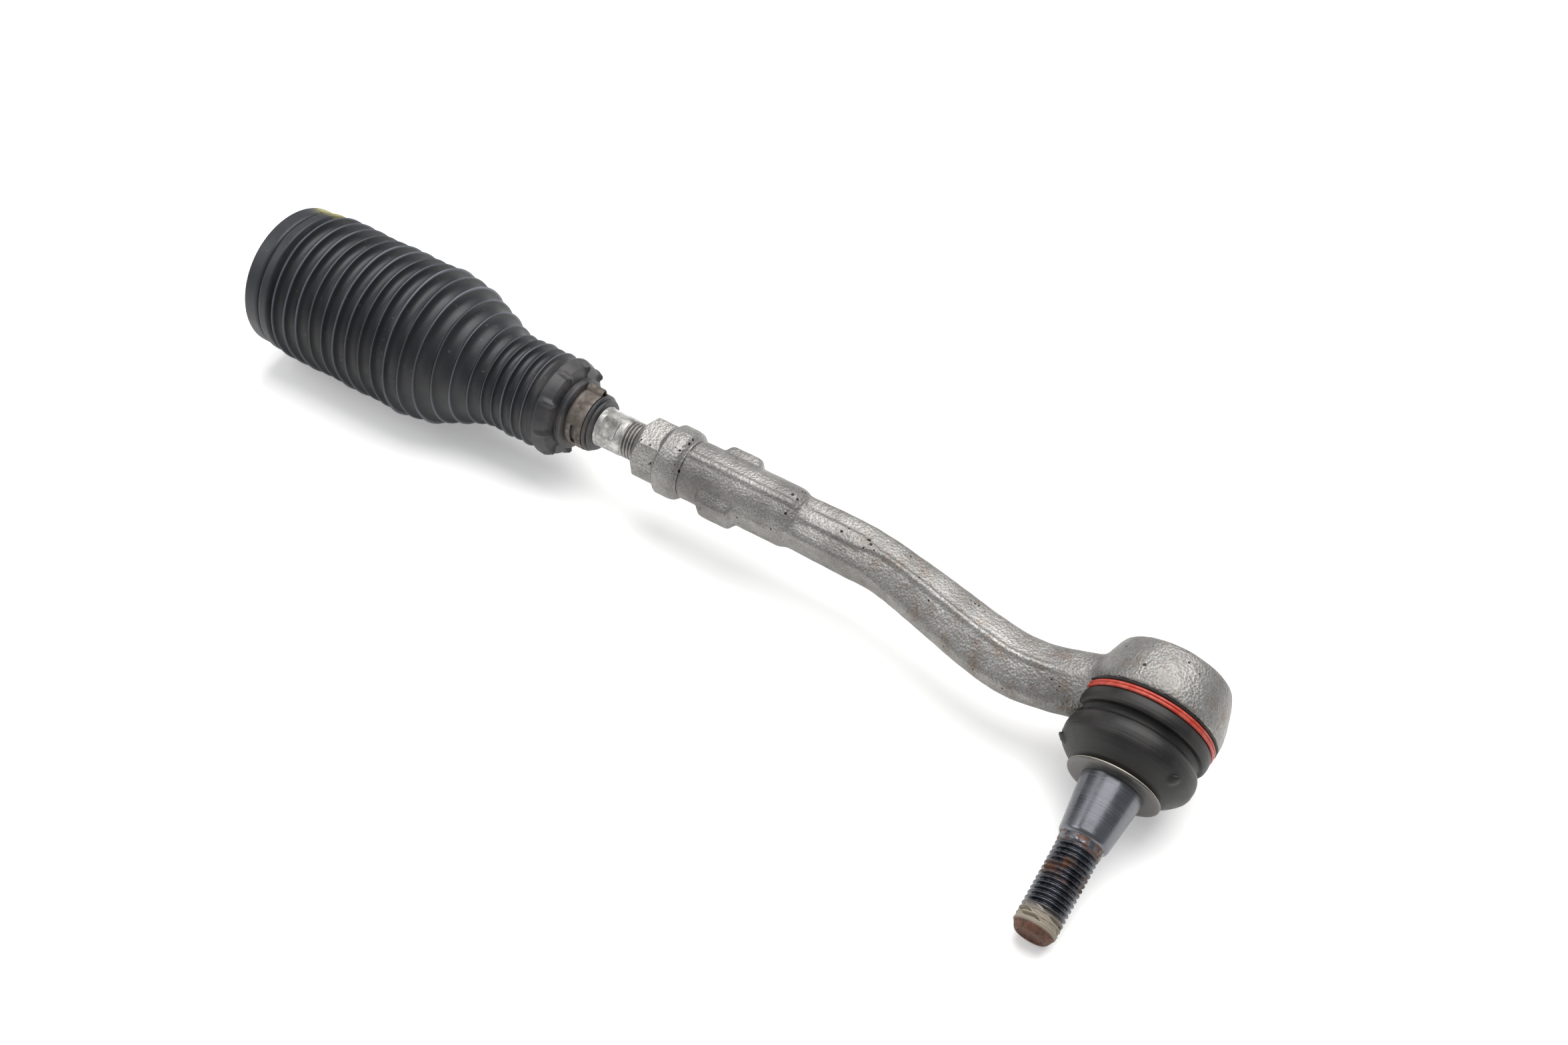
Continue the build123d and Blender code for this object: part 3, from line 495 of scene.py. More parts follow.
def rod_marks(along, radius, angle):
    """Depth is how far a point lies in the thread, for the dirt in its roots."""
    return {"depth": np.where(along > rod_thread_start - 0.5, rod_thread_radius - radius, 0.0)}


tie_rod = turned_piece(
    "tie_rod_shaft", rod_outline, 96, rod_line, along_rod, np.array([0.0, 0.0, 1.0]),
    shape=rod_form, sharp=50, marks=rod_marks)
# Zinc-plated steel gone white and blotchy: bright patches of bare plating, dull grey oxide and
# dark stains, with dirt in the thread's roots.
stained_zinc, tree, shader = begin_material("stained_zinc_plated_steel")
coordinates = add(tree, "ShaderNodeTexCoord").outputs["Object"]
blotch = add(tree, "ShaderNodeTexNoise", {"Vector": coordinates, "Scale": 190.0, "Detail": 8.0,
    "Roughness": 0.68, "Distortion": 0.5}).outputs["Fac"]
stain = add(tree, "ShaderNodeTexNoise", {"Vector": coordinates, "Scale": 95.0, "Detail": 5.0,
    "Roughness": 0.6}).outputs["Fac"]
root = add(tree, "ShaderNodeAttribute", attribute_name="depth").outputs["Fac"]
white = add(tree, "ShaderNodeMapRange", {"Value": blotch, "From Min": 0.42, "From Max": 0.66}).outputs[0]
zinc = add(tree, "ShaderNodeMix", {0: white, 6: linear(rod_mid), 7: linear(rod_light)},
    data_type="RGBA").outputs[2]
dark_share = add(tree, "ShaderNodeMapRange", {"Value": stain, "From Min": 0.56, "From Max": 0.68,
    "To Max": 0.8}).outputs[0]
root_share = add(tree, "ShaderNodeMapRange", {"Value": root, "From Min": 0.1, "From Max": 0.6,
    "To Max": 0.85}).outputs[0]
dark_share = add(tree, "ShaderNodeMath", {0: dark_share, 1: root_share}, operation="MAXIMUM").outputs[0]
zinc = add(tree, "ShaderNodeMix", {0: dark_share, 6: zinc, 7: linear(rod_dark)},
    data_type="RGBA").outputs[2]
zinc_dull = add(tree, "ShaderNodeMapRange", {"Value": blotch, "From Min": 0.35, "From Max": 0.65,
    "To Min": 0.55, "To Max": 0.34}).outputs[0]
tree.links.new(zinc, shader.inputs["Base Color"])
tree.links.new(zinc_dull, shader.inputs["Roughness"])
shader.inputs["Metallic"].default_value = 0.7
tree.links.new(add(tree, "ShaderNodeBump",
    {"Height": blotch, "Strength": 0.35, "Distance": 0.0003}).outputs[0], shader.inputs["Normal"])
tie_rod.data.materials.append(stained_zinc)
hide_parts("tie_rod")
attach(tie_rod, "rod")


# ---- Lock nut -------------------------------------------------------------------------------
# A forged nut with a round collar. It is screwed hard against the outer end to lock the thread.
# Its six flats run out in arcs where they meet the collar.

nut_left, nut_right = -224.25, -200.95
nut_across_flats = 25.0
nut_collar_radius = 14.75
forged_grey, forged_pale, forged_stain = "#7C7A77", "#A6A4A0", "#555250"
forged_pit, forged_brown = "#332B26", "#6E543D"

nut_outline = soft_profile([
    (nut_right, 8.05), (nut_right, 12.2), (-201.6, 12.55), (-202.6, 13.6), (-203.6, 14.4),
    (-205.4, nut_collar_radius), (-213.0, nut_collar_radius), (-218.6, nut_collar_radius),
    (-221.2, 13.6), (-222.6, 12.0), (nut_left, 10.2), (nut_left, 8.1)], 0.16, 0.4)


def nut_form(along, radius, angle):
    """The smaller of the turned outline and a hexagon with softened corners, but never less than
    a cone that rises to the collar: where flats and cone meet, each flat runs out in an arc."""
    sixth = np.pi / 3
    away = (angle + math.radians(22)) % sixth - sixth / 2
    hexagon = nut_across_flats / 2 / np.cos(away)
    hexagon = hexagon - 0.25 * np.clip(np.abs(away) / (sixth / 2), 0, 1) ** 10
    collar = np.clip(12.3 + (along + 213.4) * 0.9, 8.0, nut_collar_radius)
    both = np.maximum(hexagon, collar)
    return along, np.where(radius > 9.0, np.minimum(radius, both), radius)


lock_nut = turned_piece("lock_nut_forged", nut_outline, 240, rod_line, along_rod, np.array([0.0, 0.0, 1.0]),
    shape=nut_form, wrap=True, sharp=60)
# Aluminium as forged and shot-blasted: even grey with a fine sparkle, small dark pits, and a
# brown tint where dirt and rust dust have settled.
shot_blasted, tree, shader = begin_material("shot_blasted_forged_aluminium")
coordinates = add(tree, "ShaderNodeTexCoord").outputs["Object"]
# The blasted grain is about 0.3 mm across; it is drawn 0.6 mm across so that it still shows.
fine = add(tree, "ShaderNodeTexNoise", {"Vector": coordinates, "Scale": 1600.0, "Detail": 3.0,
    "Roughness": 0.6}).outputs["Fac"]
broad = add(tree, "ShaderNodeTexNoise", {"Vector": coordinates, "Scale": 42.0, "Detail": 6.0,
    "Roughness": 0.62}).outputs["Fac"]
peen = add(tree, "ShaderNodeTexVoronoi", {"Vector": coordinates, "Scale": 900.0}).outputs["Distance"]
pit_cells = add(tree, "ShaderNodeTexVoronoi",
    {"Vector": coordinates, "Scale": 290.0, "Randomness": 1.0}).outputs["Distance"]
pit_pick = add(tree, "ShaderNodeTexNoise",
    {"Vector": coordinates, "Scale": 120.0, "Detail": 1.0}).outputs["Fac"]
pit_size = add(tree, "ShaderNodeMapRange", {"Value": pit_pick, "From Min": 0.42, "From Max": 0.72,
    "To Max": 0.26}).outputs[0]
pit = add(tree, "ShaderNodeMath", {0: pit_size, 1: pit_cells}, operation="SUBTRACT").outputs[0]
pit = add(tree, "ShaderNodeMapRange", {"Value": pit, "From Min": 0.0, "From Max": 0.05}).outputs[0]
tone = add(tree, "ShaderNodeMapRange", {"Value": broad, "From Min": 0.35, "From Max": 0.65}).outputs[0]
alloy = add(tree, "ShaderNodeMix", {0: tone, 6: linear(forged_grey), 7: linear(forged_pale)},
    data_type="RGBA").outputs[2]
sparkle = add(tree, "ShaderNodeMapRange", {"Value": fine, "From Min": 0.35, "From Max": 0.7}).outputs[0]
sparkle = add(tree, "ShaderNodeMath", {0: sparkle, 1: 0.6}, operation="MULTIPLY").outputs[0]
alloy = add(tree, "ShaderNodeMix", {0: sparkle, 6: alloy, 7: linear(forged_stain)},
    data_type="RGBA").outputs[2]
brown_cloud = add(tree, "ShaderNodeTexNoise", {"Vector": coordinates, "Scale": 150.0, "Detail": 4.0,
    "Roughness": 0.7}).outputs["Fac"]
brown_share = add(tree, "ShaderNodeMapRange", {"Value": brown_cloud, "From Min": 0.52, "From Max": 0.72,
    "To Max": 0.55}).outputs[0]
across = add(tree, "ShaderNodeSeparateXYZ", {"Vector": coordinates}).outputs["X"]
toward_ball = add(tree, "ShaderNodeMapRange", {"Value": across, "From Min": -0.150, "From Max": -0.110,
    "To Min": 0.25}).outputs[0]
brown_share = add(tree, "ShaderNodeMath", {0: brown_share, 1: toward_ball}, operation="MULTIPLY").outputs[0]
alloy = add(tree, "ShaderNodeMix", {0: brown_share, 6: alloy, 7: linear(forged_brown)},
    data_type="RGBA").outputs[2]
alloy = add(tree, "ShaderNodeMix", {0: pit, 6: alloy, 7: linear(forged_pit)}, data_type="RGBA").outputs[2]
blast_height = add(tree, "ShaderNodeMath", {0: fine, 1: peen}, operation="ADD").outputs[0]
blast_height = add(tree, "ShaderNodeMath", {0: blast_height, 1: pit}, operation="SUBTRACT").outputs[0]
tree.links.new(alloy, shader.inputs["Base Color"])
shader.inputs["Metallic"].default_value = 0.9
tree.links.new(add(tree, "ShaderNodeMapRange", {"Value": broad, "From Min": 0.3, "From Max": 0.7,
    "To Min": 0.56, "To Max": 0.42}).outputs[0], shader.inputs["Roughness"])
tree.links.new(add(tree, "ShaderNodeBump", {"Height": blast_height, "Strength": 0.5,
    "Distance": 0.0004}).outputs[0], shader.inputs["Normal"])
lock_nut.data.materials.append(shot_blasted)
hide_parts("jam_nut")
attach(lock_nut, "lock_nut")


# ---- Outer end forging ----------------------------------------------------------------------
# One drop forging in aluminium alloy: a bored and tapped barrel with two lugs for a spanner, an
# arm bowed clear of the wheel, and the cup of the ball joint. The parting line runs as a ridge
# along the arm. Only the bore, the cup and the boot's seat are machined.

barrel_end, barrel_shoulder, barrel_radius = -201.2, -154.4, 12.3
lug_x, lug_length, lug_face, lug_width = -183.2, 15.0, 14.4, 12.4
arm_reach = np.array([160.0, 145.0, 132.0, 114.0, 98.0, 82.0, 66.0, 50.0, 34.0, 24.0, 19.0])
arm_bow = np.array([0.2, 0.2, 0.3, 1.1, 4.0, 7.6, 11.2, 13.2, 11.0, 8.3, 7.2])
arm_half_height = np.array([10.0, 10.0, 10.2, 10.3, 11.0, 11.6, 12.1, 12.4, 12.0, 11.6, 11.4])
arm_half_width = np.array([9.6, 9.8, 9.9, 9.8, 9.6, 9.5, 9.6, 9.9, 10.8, 12.4, 14.0])


def smooth_through(at, knots, values):
    """Cubic curve through the values, with each knot's slope taken from its two neighbours."""
    order = np.argsort(knots)
    knots, values = knots[order], values[order]
    slope = np.gradient(values, knots)
    i = np.clip(np.searchsorted(knots, at) - 1, 0, len(knots) - 2)
    width = knots[i + 1] - knots[i]
    t = (at - knots[i]) / width
    return ((1 + 2 * t) * (1 - t) ** 2 * values[i] + t * (1 - t) ** 2 * width * slope[i]
            + t * t * (3 - 2 * t) * values[i + 1] + t * t * (t - 1) * width * slope[i + 1])


def arm_skin(name):
    """Sections square to the bowed line. Each is a six-sided oval: two side faces and two roofs
    that meet at the parting ridge, drawn as the smooth smallest of six half planes."""
    reach = np.linspace(arm_reach[0], arm_reach[-1], 150)
    bow = smooth_through(reach, arm_reach, arm_bow)
    tall = smooth_through(reach, arm_reach, arm_half_height)[:, None]
    wide = smooth_through(reach, arm_reach, arm_half_width)[:, None]
    slope = np.gradient(bow, -reach)
    heading = np.stack([np.ones_like(slope), slope], 1)
    heading /= np.linalg.norm(heading, axis=1)[:, None]
    angle = np.linspace(0, 2 * np.pi, 120, endpoint=False)[None, :]
    c, s = np.cos(angle), np.sin(angle)
    shoulder = np.interp(-reach, [-160, -125, -105, -40, -24], [0.72, 0.70, 0.46, 0.40, 0.6])[:, None]
    land = np.interp(-reach, [-160, -122, -110], [0.92, 0.93, 0.97])[:, None]
    total = np.zeros((len(reach), angle.shape[1]))
    power = 9.0
    length = np.hypot((1 - shoulder) * wide, tall)
    for side_sign in (1, -1):
        total += np.clip(side_sign * c / tall, 0, None) ** power
        total += np.clip(side_sign * s / (wide * land), 0, None) ** power
        for roof_sign in (1, -1):
            toward = side_sign * c * (1 - shoulder) * wide / length + roof_sign * s * tall / length
            total += np.clip(toward * length / (tall * wide), 0, None) ** power
    radius = total ** (-1 / power)
    dip = radius * c
    high = radius * s
    # the parting ridge: a wide flat land beside the barrel, a narrow band along the bow
    half_band = np.interp(-reach, [-160, -124, -116, -30], [3.0, 3.0, 1.1, 1.1])[:, None]
    fades = np.clip((reach[:, None] - 30) / 12, 0, 1)
    on_band = np.clip((half_band - np.abs(dip)) / 0.6 + 0.5, 0, 1) * (np.abs(high) > 0.5 * wide)
    high = high + np.sign(high) * 0.9 * fades * on_band
    # the section leans with the bowed line; dip is measured along the stud
    x = -reach[:, None] - dip * heading[:, 1:2]
    down = bow[:, None] + dip * heading[:, 0:1]
    points = rod_line + mm * (
        x[..., None] * along_rod + down[..., None] * along_stud + high[..., None] * across_stud)
    first, last = points[:1].mean(1, keepdims=True), points[-1:].mean(1, keepdims=True)
    cap = np.ones((1, angle.shape[1], 1))
    return skin_from_grid(name, np.concatenate([first * cap, points, last * cap]), False)


def lug_skin(name, sign):
    """A drafted pad: rounded rectangles that shrink as they rise from the barrel to the face."""
    angle = np.linspace(0, 2 * np.pi, 72, endpoint=False)[None, :]
    rise = np.array([0.0, 0.25, 0.5, 0.75, 0.9, 0.97, 1.0, 1.0])[:, None]
    inset = np.array([0.0, 0.0, 0.0, 0.0, 0.1, 0.35, 0.8, 99.0])[:, None]
    half_length = np.maximum(lug_length / 2 + 2.6 * (1 - rise) - inset, 0)
    half_width = np.maximum(lug_width / 2 + 3.4 * (1 - rise) - inset, 0)
    square = (np.abs(np.cos(angle)) ** 7 + np.abs(np.sin(angle)) ** 7) ** (-1 / 7)
    x = lug_x + half_length * square * np.cos(angle)
    high = half_width * square * np.sin(angle)
    down = sign * (5.0 + (lug_face - 5.0) * rise) + 0 * x
    points = rod_line + mm * (
        x[..., None] * along_rod + down[..., None] * along_stud + high[..., None] * across_stud)
    base = points[:1].mean(1, keepdims=True) * np.ones((1, angle.shape[1], 1))
    return skin_from_grid(name, np.concatenate([base, points]), False)


def barrel_form(along, radius, angle):
    """The parting ridge on both sides, a slightly fuller shoulder, and a ragged trimmed edge."""
    outer = radius > 9.4
    from_left = np.abs((angle - np.pi / 2 + np.pi) % (2 * np.pi) - np.pi)
    from_right = np.abs((angle + np.pi / 2 + np.pi) % (2 * np.pi) - np.pi)
    ridge_side = np.minimum(from_left, from_right)
    radius = radius + outer * 0.75 * np.clip((1.5 - ridge_side * barrel_radius) / 0.5, 0, 1)
    radius = radius + outer * 0.45 * np.clip(along - barrel_shoulder + 0.2, 0, 1)
    edge_at = np.abs((angle - math.radians(-25) + np.pi) % (2 * np.pi) - np.pi)
    ragged = 0.55 + 0.45 * np.sin(along * 2.1) * np.sin(along * 0.83 + 1.0) + 0.25 * np.sin(along * 5.3)
    on_edge = np.clip((along + 175.4) / 1.5, 0, 1) * np.clip((-157.5 - along) / 2.0, 0, 1)
    radius = radius + outer * on_edge * 0.95 * np.clip(ragged, 0, 1) * np.exp(-(edge_at / 0.075) ** 2)
    return along, radius


barrel_outline = soft_profile([
    (-170, 8.7), (barrel_end, 8.7), (barrel_end, barrel_radius), (barrel_shoulder - 1.2, barrel_radius),
    (barrel_shoulder, 12.0), (barrel_shoulder + 2.0, 10.6), (barrel_shoulder + 4.5, 9.4),
    (-145, 0.0)], 0.5, 1.0)
cup_outline = soft_profile([
    (11.1, 16.0), (7.1, 12.9), (7.1, 16.4), (-13.9, 16.4), (-13.9, 18.6), (-15.7, 18.6),
    (-15.7, 17.6), (-17.0, 17.6), (-17.0, 20.2), (-16.5, 21.5), (-14.8, 22.4), (-10.0, 23.9),
    (-4.0, 25.3), (0.8, 26.0), (3.6, 25.9), (4.4, 25.4), (4.4, 20.5), (11.1, 20.5)], 0.35, 0.35)
forging_parts = [
    turned_piece("barrel_blank", np.vstack([[(-170, 0.0)], barrel_outline]), 160, rod_line, along_rod,
    along_stud, shape=barrel_form),
    arm_skin("arm_blank"), lug_skin("lug_blank_near", 1), lug_skin("lug_blank_far", -1),
    turned_piece("cup_blank", cup_outline, 200, ball_centre, along_stud, along_rod, wrap=True)]


def forged_together(name, parts, voxel, rounds):
    """The blanks are joined and skinned again on an even grid, as one lump of metal. Each point
    then moves towards the mean of its neighbours, many rounds where the arm runs into the cup and
    a few elsewhere, which gives the forging's round inner corners."""
    work = bmesh.new()
    for part in parts:
        work.from_mesh(part.data)
    mesh = bpy.data.meshes.new(name)
    work.to_mesh(mesh)
    work.free()
    for part in parts:
        bpy.data.objects.remove(part)
    piece = bpy.data.objects.new(name, mesh)
    bpy.context.scene.collection.objects.link(piece)
    even = piece.modifiers.new("even_skin", "REMESH")
    even.mode = "VOXEL"
    even.voxel_size = voxel
    skin = bpy.data.meshes.new_from_object(piece.evaluated_get(bpy.context.evaluated_depsgraph_get()))
    piece.modifiers.clear()
    piece.data = skin
    count = len(skin.vertices)
    at = np.empty(count * 3)
    skin.vertices.foreach_get("co", at)
    at = at.reshape(-1, 3)
    ends = np.empty(len(skin.edges) * 2, np.int32)
    skin.edges.foreach_get("vertices", ends)
    a, b = ends[::2], ends[1::2]
    share = np.bincount(a, minlength=count) + np.bincount(b, minlength=count)
    from_cup = np.hypot(at[:, 0], (at - ball_centre) @ across_stud) / mm
    along_cup = at @ along_stud / mm
    joins_cup = np.exp(-((from_cup - 27.5) / 5.0) ** 2) * (at[:, 0] < -0.012)
    joins_cup = joins_cup * (np.abs((at @ across_stud) / mm) < 19)
    joins_cup *= np.clip((along_cup + 15) / 3, 0, 1)
    joins_barrel = np.exp(-((at[:, 0] / mm + 150.0) / 3.0) ** 2) * 0.5
    weight = np.clip(joins_cup + joins_barrel, 0, 1)[:, None]
    for step in range(rounds):
        total = np.stack([
            np.bincount(a, at[b, k], count) + np.bincount(b, at[a, k], count) for k in range(3)], 1)
        pull = 0.5 * np.where(step < 3, 1.0, weight)
        at = at + pull * (total / share[:, None] - at)
    # a faint unevenness of the die, 0.05 mm over some 10 mm
    hollow = np.sin(at[:, 0] * 620 + 3 * np.sin(at[:, 1] * 300)) * np.sin(at[:, 2] * 540 + at[:, 0] * 210)
    skin.vertices.foreach_set("co", at.reshape(-1))
    normals = np.empty(count * 3)
    skin.vertices.foreach_get("normal", normals)
    at = at + normals.reshape(-1, 3) * (hollow * 0.05 * mm)[:, None]
    skin.vertices.foreach_set("co", at.reshape(-1))
    skin.update()
    skin.polygons.foreach_set("use_smooth", np.ones(len(skin.polygons), bool))
    return piece


forging = forged_together("outer_end_forging", forging_parts, 0.55 * mm, 44)
forging.data.materials.clear()
forging.data.materials.append(shot_blasted)
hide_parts("tie_rod_end_forging")
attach(forging, "outer_end")


# ---- Inside the ball joint ------------------------------------------------------------------
# A moulded plastic seat holds the ball, a ring behind it takes up wear, and a pressed steel cap
# is held by the rolled edge of the cup. Only the cap shows, from behind.

moulded_acetal, tree, shader = begin_material("moulded_acetal")
coordinates = add(tree, "ShaderNodeTexCoord").outputs["Object"]
flow = add(tree, "ShaderNodeTexNoise",
    {"Vector": coordinates, "Scale": 160.0, "Detail": 3.0}).outputs["Fac"]
tree.links.new(add(tree, "ShaderNodeMix", {0: flow, 6: linear("#E6E2D6"), 7: linear("#D2CDBD")},
    data_type="RGBA").outputs[2], shader.inputs["Base Color"])
shader.inputs["Roughness"].default_value = 0.4

wear_ring, tree, shader = begin_material("moulded_preload_rubber")
coordinates = add(tree, "ShaderNodeTexCoord").outputs["Object"]
flow = add(tree, "ShaderNodeTexNoise",
    {"Vector": coordinates, "Scale": 300.0, "Detail": 3.0}).outputs["Fac"]
tree.links.new(add(tree, "ShaderNodeMix", {0: flow, 6: linear("#232323"), 7: linear("#343434")},
    data_type="RGBA").outputs[2], shader.inputs["Base Color"])
shader.inputs["Roughness"].default_value = 0.7

# Cold-rolled sheet steel, pressed and lightly oiled: grey with faint rolling streaks and a few
# brown spots of rust.
pressed_sheet, tree, shader = begin_material("pressed_sheet_steel")
coordinates = add(tree, "ShaderNodeTexCoord").outputs["Object"]
streaks = add(tree, "ShaderNodeTexNoise",
    {"Vector": add(tree, "ShaderNodeMapping", {"Vector": coordinates, "Scale": (60, 900, 900)}).outputs[0],
    "Scale": 1.0, "Detail": 4.0}).outputs["Fac"]
spots = add(tree, "ShaderNodeTexNoise", {"Vector": coordinates, "Scale": 260.0, "Detail": 4.0,
    "Roughness": 0.6}).outputs["Fac"]
sheet = add(tree, "ShaderNodeMix", {0: streaks, 6: linear("#8F8D89"), 7: linear("#B0AEA9")},
    data_type="RGBA").outputs[2]
rusty = add(tree, "ShaderNodeMapRange", {"Value": spots, "From Min": 0.60, "From Max": 0.70,
    "To Max": 0.7}).outputs[0]
sheet = add(tree, "ShaderNodeMix", {0: rusty, 6: sheet, 7: linear("#6E4E38")}, data_type="RGBA").outputs[2]
tree.links.new(sheet, shader.inputs["Base Color"])
tree.links.new(add(tree, "ShaderNodeMapRange", {"Value": spots, "From Min": 0.4, "From Max": 0.7,
    "To Min": 0.34, "To Max": 0.6}).outputs[0], shader.inputs["Roughness"])
shader.inputs["Metallic"].default_value = 0.85


def dress(node, material):
    """Gives a CAD node its material."""
    mesh = frame["nodes"][node].data
    mesh.materials.clear()
    mesh.materials.append(material)


dress("ball_seat", moulded_acetal)
dress("inner_ball_seat", moulded_acetal)
dress("seat_preload_ring", wear_ring)
dress("housing_end_cap", pressed_sheet)
dress("boot_mouth_ring", pressed_sheet)
dress("inner_spring_washer", pressed_sheet)


# ---- Inner joint housing --------------------------------------------------------------------
# Turned steel cup rolled over the inner ball and its liner. Two flats take a spanner, and the
# M16 x 1.5 thread screws into the steering rack.

inner_front, inner_mouth, inner_back = -371.75, -369.55, -402.3
rack_thread_end = -417.3
inner_across_flats = 32.0
inner_outline = soft_profile([
    (-397.3, 0.0), (-397.3, 15.45), (inner_front, 15.45), (inner_front, 12.7), (inner_mouth, 13.4),
    (inner_mouth, 15.4),
    (inner_mouth - 2.4, 18.0), (inner_back + 1.6, 18.0), (inner_back, 16.2), (inner_back, 8.0)], 0.4, 0.5)
inner_outline = np.vstack([
    inner_outline, even_run(inner_back, rack_thread_end + 1.4, -0.15, rod_thread_radius),
    [(rack_thread_end, 6.6), (rack_thread_end, 0.0)]])


def inner_form(along, radius, angle):
    """Thread behind the cup, and two parallel flats at its back."""
    radius = thread_form(
        along, radius, angle, rack_thread_end, inner_back - 0.5, rod_pitch, rod_thread_radius,
        rod_thread_depth)
    flat = inner_across_flats / 2 / np.maximum(np.abs(np.cos(angle)), 1e-3)
    on_flat = np.clip((inner_back + 9.0 - along) / 0.8, 0, 1) * (along > inner_back - 0.2)
    return along, radius + (np.minimum(radius, flat) - radius) * on_flat


def inner_marks(along, radius, angle):
    """Depth is how far a point lies in the rack's thread."""
    return {"depth": np.where(along < inner_back - 0.4, rod_thread_radius - radius, 0.0)}


inner_housing = turned_piece(
    "inner_joint_cup", inner_outline, 120, rod_line, along_rod, np.array([0.0, 0.0, 1.0]),
    shape=inner_form, sharp=50, marks=inner_marks)
inner_housing.data.materials.append(stained_zinc)
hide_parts("inner_joint_housing")
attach(inner_housing, "inner_housing")


# ---- Dust boot ------------------------------------------------------------------------------
# Moulded rubber. A thick bead grips the cup under the red ring, one deep fold lets the stud
# swing, and the mouth seals on the stud. It is drawn in two pieces that meet below the bulge.

boot_seam = 23.6
boot_black, boot_worn_and_sheen = "#131211", "#2C2826"
boot_upper = soft_profile([
    (4.45, 20.7), (4.45, 25.2), (4.8, 25.7), (5.2, 25.3), (5.4, 24.15), (7.8, 24.15), (8.0, 24.8),
    (8.8, 25.25), (10.8, 25.3), (12.4, 25.0), (13.2, 24.3), (13.5, 22.6), (14.4, 21.7), (15.6, 21.3),
    (16.2, 21.8), (16.7, 23.0), (17.6, 24.1), (19.2, 24.8), (21.0, 25.0), (22.6, 24.8),
    (boot_seam + 0.8, 24.3), (boot_seam + 0.8, 23.0), (21.0, 23.2), (18.2, 22.4), (17.2, 20.6),
    (16.6, 19.6), (11.6, 19.6), (11.6, 20.7)], 0.22, 0.5)
boot_lower = soft_profile([
    (boot_seam - 0.2, 24.75), (24.6, 24.35), (26.0, 23.3), (27.6, 21.7), (29.4, 19.6), (30.6, 18.3),
    (31.4, 17.0), (32.3, 15.9), (32.45, 14.4), (32.45, 13.3), (29.8, 13.3), (29.2, 15.2),
    (27.6, 17.4), (25.8, 20.4), (24.6, 22.4), (boot_seam - 0.2, 23.3)], 0.22, 0.5)


def boot_form(along, radius, angle):
    """A small ragged lip of squeezed rubber by the cup, two moulded nubs, and a slight waver."""
    lip = np.exp(-((along - 4.7) / 0.35) ** 2) * (radius > 24)
    ragged = np.clip(np.sin(angle * 3 + 1.2) * np.sin(angle * 7) + 0.25 * np.sin(angle * 19), 0, 1)
    radius = radius + lip * (0.25 + 0.35 * ragged)
    soft = np.clip((along - 13) / 4, 0, 1) * np.clip((32 - along) / 5, 0, 1)
    radius = radius + soft * (0.14 * np.sin(2 * angle + 0.6) + 0.08 * np.sin(5 * angle + along * 0.4))
    for nub_angle in (math.radians(172), math.radians(38)):
        away = np.hypot((np.abs((angle - nub_angle + np.pi) % (2 * np.pi) - np.pi)) * 22.0, along - 26.6)
        radius = radius + 1.5 * np.clip((1.9 - away) / 0.7, 0, 1) * (radius > 21.2 - (along - 26) * 1.2)
    return along, radius


def boot_marks(along, radius, angle):
    """Crown is 1 where the fold is widest; there it gets rubbed, and a sheen is painted paler."""
    return {"crown": np.clip((radius - 23.6) / 1.4, 0, 1)}


boot_fold = turned_piece("dust_boot_fold", boot_upper, 180, ball_centre, along_stud, along_rod,
    shape=boot_form, wrap=True, marks=boot_marks)
boot_mouth = turned_piece("dust_boot_mouth", boot_lower, 180, ball_centre, along_stud, along_rod,
    shape=boot_form, wrap=True, marks=boot_marks)
# Chloroprene rubber from a polished mould: near black, painted paler in clouds on the fold's crown,
# partly rubbed wear and partly a painted sheen.
boot_rubber, tree, shader = begin_material("moulded_chloroprene_rubber")
coordinates = add(tree, "ShaderNodeTexCoord").outputs["Object"]
crown = add(tree, "ShaderNodeAttribute", attribute_name="crown").outputs["Fac"]
film = add(tree, "ShaderNodeTexNoise", {"Vector": coordinates, "Scale": 85.0, "Detail": 6.0,
    "Roughness": 0.62}).outputs["Fac"]
scuffs = add(tree, "ShaderNodeTexNoise",
    {"Vector": coordinates, "Scale": 900.0, "Detail": 3.0}).outputs["Fac"]
rubbed_and_sheen = add(tree, "ShaderNodeMapRange", {"Value": film, "From Min": 0.40, "From Max": 0.68}).outputs[0]
rubbed_and_sheen = add(tree, "ShaderNodeMath",
    {0: rubbed_and_sheen, 1: add(tree, "ShaderNodeMapRange",
    {"Value": crown, "To Min": 0.35, "To Max": 0.9}).outputs[0]}, operation="MULTIPLY").outputs[0]
# the paler colour on the crown is partly rubbed wear, partly a painted sheen
tree.links.new(add(tree, "ShaderNodeMix", {0: rubbed_and_sheen, 6: linear(boot_black), 7: linear(boot_worn_and_sheen)},
    data_type="RGBA").outputs[2], shader.inputs["Base Color"])
tree.links.new(add(tree, "ShaderNodeMapRange", {"Value": film, "From Min": 0.3, "From Max": 0.7,
    "To Min": 0.40, "To Max": 0.60}).outputs[0], shader.inputs["Roughness"])
tree.links.new(add(tree, "ShaderNodeBump",
    {"Height": scuffs, "Strength": 0.15, "Distance": 0.0002}).outputs[0], shader.inputs["Normal"])
shader.inputs["Specular IOR Level"].default_value = 0.4
for half, first, second, low, high in ((boot_fold, "outer_end", "boot_body", 14.0, 23.0),
        (boot_mouth, "boot_body", "boot_mouth", 23.8, 30.5)):
    half.data.materials.append(boot_rubber)
    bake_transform(half)
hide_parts("dust_boot")


# ---- Boot clamp ring ------------------------------------------------------------------------
# Two turns of spring wire with a red coating, slipped over the boot's bead. The ends lie beside
# each other.

ring_middle, ring_radius, wire_radius, ring_turns = 6.6, 24.9, 0.66, 2.08
coating_red, coating_worn = "#A5301F", "#C26A58"


